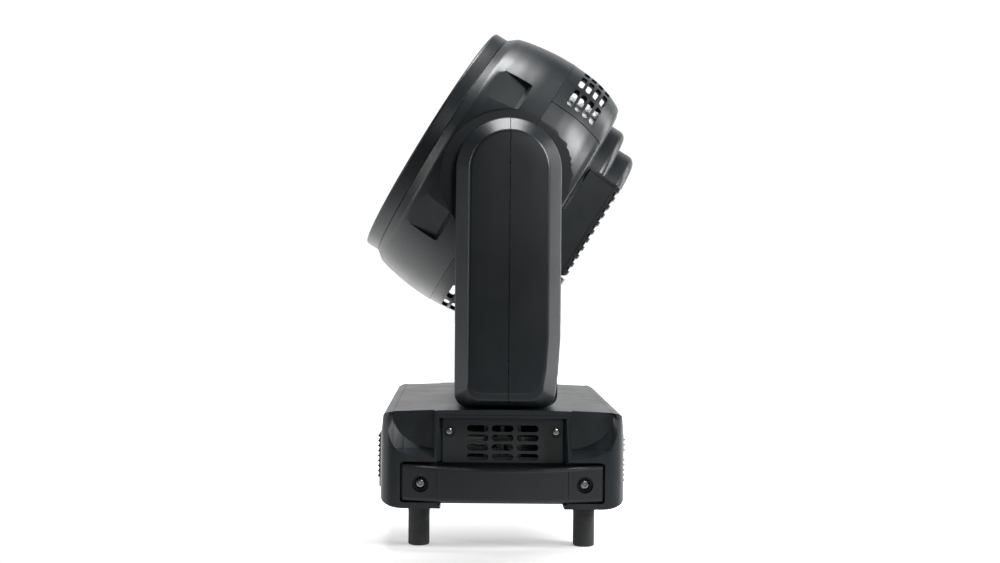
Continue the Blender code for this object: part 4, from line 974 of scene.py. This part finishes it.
def build_heatsink():
    """A thick plate with fine fins that reach back towards the fan."""
    parts = [turned([(0, 0.01), (HEATSINK_RADIUS, 0.01), (0.132, 0.0105), (0.132, 0.0172),
                     (HEATSINK_RADIUS, 0.0177), (0, 0.0177)], 144)]
    for i in range(-FINS_A_SIDE, FINS_A_SIDE + 1):
        y = i * FIN_PITCH
        half = math.sqrt(HEATSINK_RADIUS ** 2 - (abs(y) + 0.001) ** 2)
        parts.append(box((-half, y - FIN_HALF, -0.06), (half, y + FIN_HALF, 0.0101)))
    piece(soften(gathered(parts), 0, angle=30), "look_heatsink", "head", "aluminium",
          ("heatsink",), HEAD_FRAME)


def build_tilt_shafts():
    """Smooth flanged shafts on both sides of the head."""
    flange = RECESS_FLOOR_Y - HEAD_WALL - CLEARANCE
    for (end, suffix), reach in zip(ENDS, (0.1815, 0.17)):
        profile = filleted([(0.015, reach, 0.0006), (0.015, flange, 0), (0.034, flange, 0.0006),
                            (0.034, flange - 0.004, 0.0006), (0.01, flange - 0.004, 0),
                            (0.01, reach, 0.0006)], True, 3)
        shaft = turned(profile, 72, ring=True)
        piece(soften(shaft, 0), f"look_tilt_shaft_{suffix}", "head", "zinc_steel",
              (f"tilt_shaft_{suffix}",), HEAD_FRAME @ turn(-90 * end, "X"))


build_front_shell()
build_rear_shell()
build_rear_steps()
build_exhaust()
build_bezel()
build_optics()
build_heatsink()
build_tilt_shafts()

# ---------------------------------------------------------------------- base

BASE_HALF_X = 0.1315
BASE_HALF_Y = 0.185
BASE_BOTTOM = 0.0445
BASE_TOP = 0.1505
BASE_CORNER = 0.018
BASE_WALL = 0.003
POCKET_WALL = 0.0025
CHEEK_Y = 0.177
STRIP_LOW = 0.0996
LID_HALF_X = 0.1175
LID_LOW = 0.1085
END_COVER_Y = 0.165
LONG_WALL_HALF_Y = END_COVER_Y - CLEARANCE
GRILLE_HALF_X = 0.0645
GRILLE_LOW = 0.0926
GRILLE_HIGH = 0.1413
GRILLE_SEAT_Y = 0.1705
GRILLE_SCREW_X = 0.0575
GRILLE_SCREW_Z = 0.1262
HANDLE_HALF_X = 0.107
HANDLE_STATIONS = 49
HANDLE_LOW = 0.052
HANDLE_HIGH = 0.092
HANDLE_THICK = 0.0139
HANDLE_BOW = 0.009
HANDLE_DIP = 0.004
HANDLE_SEAT_LOW = 0.0507
HANDLE_SEAT_HIGH = 0.0945
BOLT_X = 0.088
BOLT_Z = 0.071
BOLT_HOLE = 0.0034
PAD_FACE = 0.1345
PAD_LOW = 0.0603
PAD_HIGH = 0.119
PAD_HALF_Y = 0.14
RIB_PROUD = 0.0021
DISPLAY_Y = 0.03
DISPLAY_Z = 0.09
BUTTON_SPOTS = {"menu": (-0.03, 0.0975), "down": (-0.03, 0.0825),
                "up": (-0.048, 0.0975), "enter": (-0.048, 0.0825)}
CONNECTOR_Z = 0.0895
POWER_SOCKETS = {"power_inlet": (-0.078, "power_in_blue"), "power_outlet": (-0.044, "power_out_grey")}
DATA_IN_Y = 0.018
DATA_OUT_Y = 0.052
SOCKET_ROW = [y for y, slot in POWER_SOCKETS.values()] + [DATA_IN_Y, DATA_OUT_Y]
SOCKET_SCREW = (0.0098, 0.0123)
SOCKET_DEPTH = 0.014
FUSE_Y = -0.014
FOOT_X = 0.09
FOOT_Y = 0.15


def base_form(inset):
    """The base's whole outer form, or its room when inset by the wall."""
    side = BASE_HALF_X - inset
    low = BASE_BOTTOM + inset
    right = arc(side - 0.026, low + 0.011, 0.026, -90, 0, 14, 0.011)
    right += filleted([(side, 0.08, 0), (side, 0.117, 0.06),
                       (0.1285 - inset, 0.1445 - inset, 0.003),
                       (0.122 - inset, 0.1475 - inset, 0.012),
                       (0.061, 0.1498 - inset, 0.1), (0, BASE_TOP - inset, 0)], steps=5)
    outline = right + [(-x, z) for x, z in reversed(right[:-1])]
    form = prism([outline], "Y", -BASE_HALF_Y + inset, BASE_HALF_Y - inset)
    plan = rounded_rect(0, 0, 2 * side, 2 * (BASE_HALF_Y - inset), BASE_CORNER - inset, 12)
    return common(form, prism([plan], "Z", 0, FAR))


def cheek_recess(side, end):
    """A shallow recess beside the grille, with a sloping border below and outside."""
    outer = filleted([(0.0735, 0.0974, 0), (0.097, 0.0994, 0.06), (0.115, 0.1066, 0.03),
                      (0.1262, 0.1195, 0.02), (0.1274, 0.139, 0.003),
                      (0.1172, BASE_TOP + 0.0008, 0), (0.0735, BASE_TOP + 0.0008, 0)])
    inner = filleted([(0.0735, 0.1073, 0), (0.0955, 0.1122, 0.06), (0.1105, 0.1235, 0.03),
                      (0.1186, 0.1375, 0.02), (0.119, 0.1445, 0.003),
                      (0.111, BASE_TOP + 0.0012, 0), (0.0735, BASE_TOP + 0.0012, 0)])
    rings = [[(side * x, end * y, z) for x, z in outline]
             for y, outline in ((BASE_HALF_Y + 0.0004, outer), (CHEEK_Y, inner))]
    return loft(rings, True)


def handle_bay(end, wall):
    """The handle's seats and the deep finger pocket between them."""
    far = BASE_HALF_Y + 0.01
    middle = (HANDLE_SEAT_LOW + HANDLE_SEAT_HIGH) / 2
    height = HANDLE_SEAT_HIGH - HANDLE_SEAT_LOW
    seat = prism([rounded_rect(0, middle, 0.2194 + 2 * wall, height + 2 * wall, 0.0035, 5)],
                 "Y", end * (0.1707 - wall), end * far)
    half = 0.07 + wall
    outline = [(half, HANDLE_SEAT_HIGH + wall), (-half, HANDLE_SEAT_HIGH + wall),
               (-half, HANDLE_SEAT_LOW), (-half + 0.005, BASE_BOTTOM - 0.002),
               (half - 0.005, BASE_BOTTOM - 0.002), (half, HANDLE_SEAT_LOW)]
    return join(seat, prism([outline], "Y", end * (0.15 - wall), end * far))


def grille_seat(end, wall):
    """The flared recess that holds a side grille."""
    half = GRILLE_HALF_X + 0.0012 + wall
    low = HANDLE_SEAT_HIGH - 0.008
    high = GRILLE_HIGH + CLEARANCE + wall
    rings = []
    for y, flare in ((GRILLE_SEAT_Y - wall, 0.0), (BASE_HALF_Y + 0.002, 0.006)):
        ring = [(-half - flare, low), (half + flare, low), (half + flare / 2, high),
                (-half - flare / 2, high)]
        rings.append([(x, end * y, z) for x, z in ring])
    return loft(rings)


def base_shell():
    """The wall of the whole base before it is divided into covers."""
    shell = base_form(0)
    room = base_form(BASE_WALL)
    for end in (-1, 1):
        cut(shell, handle_bay(end, 0), grille_seat(end, 0),
            gathered([cheek_recess(side, end) for side in (-1, 1)]))
        cut(room, handle_bay(end, POCKET_WALL), grille_seat(end, POCKET_WALL),
            box((-FAR, end * (CHEEK_Y - BASE_WALL), STRIP_LOW - BASE_WALL), (FAR, end * FAR, FAR)))
    return cut(shell, room)


def lid_space(clearance):
    """The space of the top cover, grown by a clearance."""
    lid = box((-LID_HALF_X - clearance, -0.19, LID_LOW - clearance),
              (LID_HALF_X + clearance, 0.19, 0.16))
    half = GRILLE_HALF_X + 0.008 - clearance
    for end in (-1, 1):
        cut(lid, box((-half, end * (END_COVER_Y + clearance), 0.1),
                     (half, end * FAR, GRILLE_HIGH + 0.0035 - clearance)))
    return lid


def base_cover(shape, name, replaced, slot="black_plastic"):
    """A cover or panel of the base."""
    piece(shape, name, "base", slot, (replaced,))


def build_top_cover(shell):
    """The domed lid, with a stepped opening round the pan hub."""
    lid = common(lid_space(0), copy_of(shell))
    cut(lid, rod(0.035, (PAN_POINT.x, 0), "Z", 0.13, 0.17, 96))
    base_cover(soften(lid, 0.0003, 2, 27), "look_base_top", "base_top_cover")


def build_end_cover(shell, end, name):
    """The moulded end of the base."""
    cover = common(box((-FAR, end * END_COVER_Y, 0.03), (FAR, end * FAR, 0.16)), copy_of(shell))
    cut(cover, lid_space(CLEARANCE), box((-0.05, end * 0.15, 0.098), (0.05, end * 0.19, 0.137)))
    for side in (-1, 1):
        cut(cover, rod(BOLT_HOLE, (side * BOLT_X, BOLT_Z), "Y", end * 0.15, end * 0.19, 24))
    base_cover(soften(cover, 0.0004, 2, 27), f"look_end_cover_{name}", f"base_end_cover_{name}")


def build_chassis(shell):
    """The steel floor with bracket pads and quarter-turn fastener holes."""
    pan = common(box((-LID_HALF_X, -LONG_WALL_HALF_Y, 0.03),
                     (LID_HALF_X, LONG_WALL_HALF_Y, LID_LOW - CLEARANCE)), copy_of(shell))
    for y in (-0.085, 0.085):
        pad = prism([rounded_rect(0, y, 0.116, 0.036, 0.004, 5)], "Z", BASE_BOTTOM - 0.003,
                    BASE_BOTTOM + 0.001)
        for x in (-0.043, 0.043):
            cut(pad, rod(0.0045, (x, y), "Z", BASE_BOTTOM - 0.01, BASE_BOTTOM, 32))
        join(pan, pad)
    base_cover(soften(pan, 0.0004, 2, 42), "look_chassis", "base_chassis", "black_steel")


def louvre_rib(side, end, z):
    """One short saw-tooth rib on a long wall."""
    root = PAD_FACE - 0.001
    tip = PAD_FACE + RIB_PROUD
    outline = filleted([(root, z - 0.0022, 0), (tip, z - 0.0002, 0.0004),
                        (tip, z + 0.0004, 0.0003), (root, z + 0.0024, 0)], steps=2)
    return prism([[(side * x, v) for x, v in outline]], "Y", end * 0.1, end * 0.136)


def long_wall(shell, side):
    """One long wall of the base, with its raised pad."""
    wall = common(box((side * (LID_HALF_X + CLEARANCE), -LONG_WALL_HALF_Y, 0.03),
                      (side * FAR, LONG_WALL_HALF_Y, 0.16)), copy_of(shell))
    pad = rounded_rect(0, (PAD_LOW + PAD_HIGH) / 2, 2 * PAD_HALF_Y, PAD_HIGH - PAD_LOW, 0.004, 6)
    return join(wall, prism([pad], "X", side * (BASE_HALF_X - 0.002), side * PAD_FACE))


def louvres(side, heights):
    """The ribs at both ends of a long wall."""
    return gathered([louvre_rib(side, end, z) for end in (-1, 1) for z in heights])


def build_front(shell):
    """The front wall with its display window and four menu buttons."""
    wall = long_wall(shell, -1)
    window = rounded_rect(DISPLAY_Y, DISPLAY_Z, 0.058, 0.03, 0.0025, 6)
    frame_step = rounded_rect(DISPLAY_Y, DISPLAY_Z, 0.066, 0.038, 0.004, 6)
    cut(wall, prism([window], "X", -FAR, -0.12),
        prism([frame_step], "X", -FAR, -PAD_FACE + 0.0007))
    for spot in BUTTON_SPOTS.values():
        cut(wall, rod(0.0059, spot, "X", -FAR, -0.12, 48),
            rod(0.0072, spot, "X", -FAR, -PAD_FACE + 0.0005, 48))
    front = gathered([wall, louvres(-1, [0.0716 + 0.00553 * i for i in range(9)])])
    base_cover(soften(front, 0.0004, 2, 42), "look_front_panel", "base_front_panel")
    screen = rounded_rect(DISPLAY_Y, DISPLAY_Z, 0.064, 0.036, 0.001, 4)
    base_cover(soften(prism([screen], "X", -0.1271, -0.1235), 0.0003, 2), "look_display",
               "display_screen", "display")
    cap = [(0, -0.0082), (0.0063, -0.0082), (0.0063, -0.0073), (0.0055, -0.0071)]
    cap += filleted([(0.0055, -0.006, 0), (0.0055, 0.0016, 0.0012), (0.003, 0.0018, 0.002),
                     (0, 0.0012, 0)], steps=5)
    for name, (y, z) in BUTTON_SPOTS.items():
        piece(soften(turned(cap, 48), 0), f"look_{name}_button", f"{name}_key", "button_plastic",
              (f"{name}_button",), move(-PAD_FACE, y, z) @ turn(-90, "Y"))


def socket_flange(y, bore):
    """A chassis socket's square flange and hollow barrel."""
    face = PAD_FACE
    spot = (y, CONNECTOR_Z)
    flange = prism([rounded_rect(*spot, 0.026, 0.031, 0.003, 6)], "X", face + CLEARANCE,
                   face + 0.0021)
    join(flange, rod(0.0115, spot, "X", face - 0.0195, face + 0.0015, 72))
    cut(flange, rod(bore, spot, "X", face - SOCKET_DEPTH, face + 0.004, 72))
    for way in (-1, 1):
        hole = (y + way * SOCKET_SCREW[0], CONNECTOR_Z + way * SOCKET_SCREW[1])
        cut(flange, rod(0.0021, hole, "X", face + 0.0009, face + 0.004, 24))
    return flange


def build_power_sockets():
    """The mains inlet and outlet, each with a keyway and a core for three contacts."""
    bore = 0.01
    for name, (y, slot) in POWER_SOCKETS.items():
        socket = socket_flange(y, bore)
        key_z = CONNECTOR_Z + bore
        cut(socket, box((PAD_FACE - 0.006, y - 0.0016, key_z - 0.001),
                        (PAD_FACE + 0.004, y + 0.0016, key_z + 0.0012)))
        base_cover(soften(socket, 0.0003, 2, 42), f"look_{name}", name, slot)
        core = rod(0.0052, (y, CONNECTOR_Z), "X", PAD_FACE - 0.0142, PAD_FACE - 0.003, 48)
        for spot in arc(y, CONNECTOR_Z, 0.0033, 90, 330, 2):
            cut(core, rod(0.0009, spot, "X", PAD_FACE - 0.008, PAD_FACE, 16))
        piece(soften(core, 0.0003, 2, 42), f"look_{name}_core", "base", slot)


def build_data_sockets():
    """A data socket with three pins, and one with three holes."""
    for name, y in (("dmx_input", DATA_IN_Y), ("dmx_output", DATA_OUT_Y)):
        base_cover(soften(socket_flange(y, 0.0085), 0.0003, 2, 42), f"look_{name}", name,
                   "black_steel")
    sleeve = rod(0.008, (DATA_OUT_Y, CONNECTOR_Z), "X", PAD_FACE - 0.0142, PAD_FACE - 0.0008, 60)
    profile = [(0, 0.0105), (0.0007, 0.0103), (0.0011, 0.0095), (0.0011, 0), (0, 0)]
    pins = []
    for v, w in arc(0, 0, 0.004, -190, 10, 2):
        place = move(PAD_FACE - SOCKET_DEPTH, DATA_IN_Y + v, CONNECTOR_Z + w) @ turn(90, "Y")
        pins.append(shifted(turned(profile, 20), place))
        cut(sleeve, rod(0.0014, (DATA_OUT_Y + v, CONNECTOR_Z + w), "X", PAD_FACE - 0.01,
                        PAD_FACE, 20))
    piece(soften(gathered(pins), 0), "look_dmx_pins", "base", "aluminium", finish=gold_pin)
    piece(soften(sleeve, 0.0003, 2, 42), "look_dmx_sleeve", "base", "socket_black")


def build_fuse():
    """A fuse holder with a knurled, slotted cap."""
    cap = filleted([(0, 0, 0), (0.008, 0.0003, 0), (0.008, 0.004, 0.0008),
                    (0.0068, 0.0049, 0.0004), (0, 0.0049, 0)], steps=4)
    fuse = turned(cap, 64)
    cut(fuse, box((-0.0045, -0.0006, 0.0038), (0.0045, 0.0006, 0.006)))
    cut(fuse, gathered([rod(0.0004, spot, "Z", 0.0006, 0.006, 8)
                        for spot in arc(0, 0, 0.0081, 0, 345, 23)]))
    body = disc(0.0064, -0.022, 0.0004, 48)
    piece(soften(gathered([fuse, body]), 0.0002, 2, 50), "look_fuse_holder", "base",
          "black_steel", ("fuse_holder",), move(PAD_FACE, FUSE_Y, CONNECTOR_Z) @ turn(90, "Y"),
          socket_black)


def build_rear(shell):
    """The rear wall, pierced for its sockets."""
    wall = long_wall(shell, 1)
    for y in SOCKET_ROW:
        cut(wall, rod(0.0118, (y, CONNECTOR_Z), "X", 0.12, FAR, 60))
    cut(wall, rod(0.0068, (FUSE_Y, CONNECTOR_Z), "X", 0.12, FAR, 48))
    ribs = louvres(1, [0.0692 + 0.00556 * i for i in range(9) if i != 5])
    base_cover(soften(gathered([wall, ribs]), 0.0004, 2, 42), "look_rear_panel",
               "base_rear_panel")
    build_power_sockets()
    build_data_sockets()
    places = [move(PAD_FACE + 0.0007, y + way * SOCKET_SCREW[0], CONNECTOR_Z + way * SOCKET_SCREW[1])
              @ turn(90, "Y") for y in SOCKET_ROW for way in (-1, 1)]
    build_screws("look_connector_screws", "base", 0.002, places, 0.0011)
    build_fuse()


def handle_section(x):
    """The handle's rounded section at one place along its length."""
    swell = 1 - min(abs(x) / HANDLE_HALF_X, 1.0) ** 2
    height = HANDLE_HIGH - HANDLE_DIP * swell - HANDLE_LOW
    outline = rounded_rect(0.178 + HANDLE_BOW * swell, HANDLE_LOW + height / 2, HANDLE_THICK,
                           height, 0.0045, 5)
    return [(x, y, z) for y, z in outline]


def build_handle(end, name):
    """A bowed carrying handle with a counterbored socket screw at each end."""
    middle = (HANDLE_STATIONS - 1) / 2
    handle = loft([handle_section(HANDLE_HALF_X * (i / middle - 1)) for i in range(HANDLE_STATIONS)])
    if end < 0:
        shifted(handle, Matrix.Scale(-1, 4, (0, 1, 0)))
    face = BASE_HALF_Y + HANDLE_BOW * (1 - (BOLT_X / HANDLE_HALF_X) ** 2)
    seat = face - 0.008
    head = filleted([(0, -0.0235, 0), (0.003, -0.0235, 0.0004), (0.003, 0, 0),
                     (0.006, 0, 0.0002), (0.006, 0.0012, 0.0008), (0.004, 0.0033, 0.003),
                     (0.0024, 0.0034, 0), (0.0021, 0.003, 0), (0.0021, 0.0014, 0),
                     (0, 0.0012, 0)], steps=4)
    for side, side_name in SIDES:
        spot = (side * BOLT_X, BOLT_Z)
        cut(handle, rod(0.009, spot, "Y", end * seat, end * FAR, 72),
            rod(BOLT_HOLE, spot, "Y", end * 0.15, end * FAR, 32),
            box((side * 0.0697, end * (face + 0.0016), 0.04), (side * 0.0703, end * FAR, 0.1)))
        bolt = cut(turned(head, 48), rod(0.0025, (0, 0), "Z", 0.0012, 0.006, 6))
        place = move(side * BOLT_X, end * (seat + CLEARANCE), BOLT_Z) @ turn(-90 * end, "X")
        piece(soften(bolt, 0), f"look_handle_bolt_{name}_{side_name}", "base", "bolt_steel",
              (f"handle_bolt_{name}_{side_name}",), place)
    piece(soften(handle, 0.0006, 2, 40), f"look_handle_{name}", "base", "black_plastic",
          (f"carry_handle_{name}",), finish=handle_plastic)


def build_grille(end, name):
    """A slotted plate over the cooling opening in one end, with two screws."""
    middle = (GRILLE_LOW + GRILLE_HIGH) / 2
    outlines = [rounded_rect(0, middle, 2 * GRILLE_HALF_X, GRILLE_HIGH - GRILLE_LOW, 0.0012, 4)]
    outlines += [stadium((column - 1) * 0.027, 0.0987 + row * 0.0102, 0.0234, 0.007, 10)
                 for row in range(4) for column in range(3)]
    near = GRILLE_SEAT_Y + CLEARANCE
    screw_y = near + 0.0014
    plate = prism(outlines, "Y", end * near, end * (near + 0.003))
    spots = [(side * GRILLE_SCREW_X, GRILLE_SCREW_Z) for side in (-1, 1)]
    for spot in spots:
        cut(plate, rod(0.0063, spot, "Y", end * screw_y, end * 0.19, 48))
    piece(soften(plate, 0.0005, 2, 50), f"look_side_grille_{name}", "base", "black_plastic",
          (f"side_grille_{name}",), finish=grille_plastic)
    places = [move(x, end * screw_y, z) @ turn(-90 * end, "X") for x, z in spots]
    build_screws(f"look_grille_screws_{name}", "base", 0.0037, places, 0.0018)


def build_feet():
    """Four tall rubber feet, slightly waisted."""
    profile = filleted([(0, 0.0442, 0), (0.0119, 0.0442, 0), (0.0119, 0.038, 0.001),
                        (0.0116, 0.0365, 0.001), (0.0116, 0.0012, 0.001), (0.0105, 0, 0.0008),
                        (0.006, 0, 0), (0.005, 0.0012, 0), (0, 0.0012, 0)], steps=4)
    for end, end_name in ENDS:
        for side, side_name in SIDES:
            name = f"foot_{end_name}_{side_name}"
            piece(soften(turned(profile, 64), 0), f"look_{name}", "base", "rubber", (name,),
                  move(side * FOOT_X, end * FOOT_Y, 0))


base_walls = base_shell()
build_top_cover(base_walls)
build_chassis(base_walls)
build_front(base_walls)
build_rear(base_walls)
for base_end, end_name in ENDS:
    build_end_cover(base_walls, base_end, end_name)
    build_handle(base_end, end_name)
    build_grille(base_end, end_name)
build_feet()
bpy.data.objects.remove(base_walls, do_unlink=True)

finish_cad_nodes()
build_camera()
build_studio()
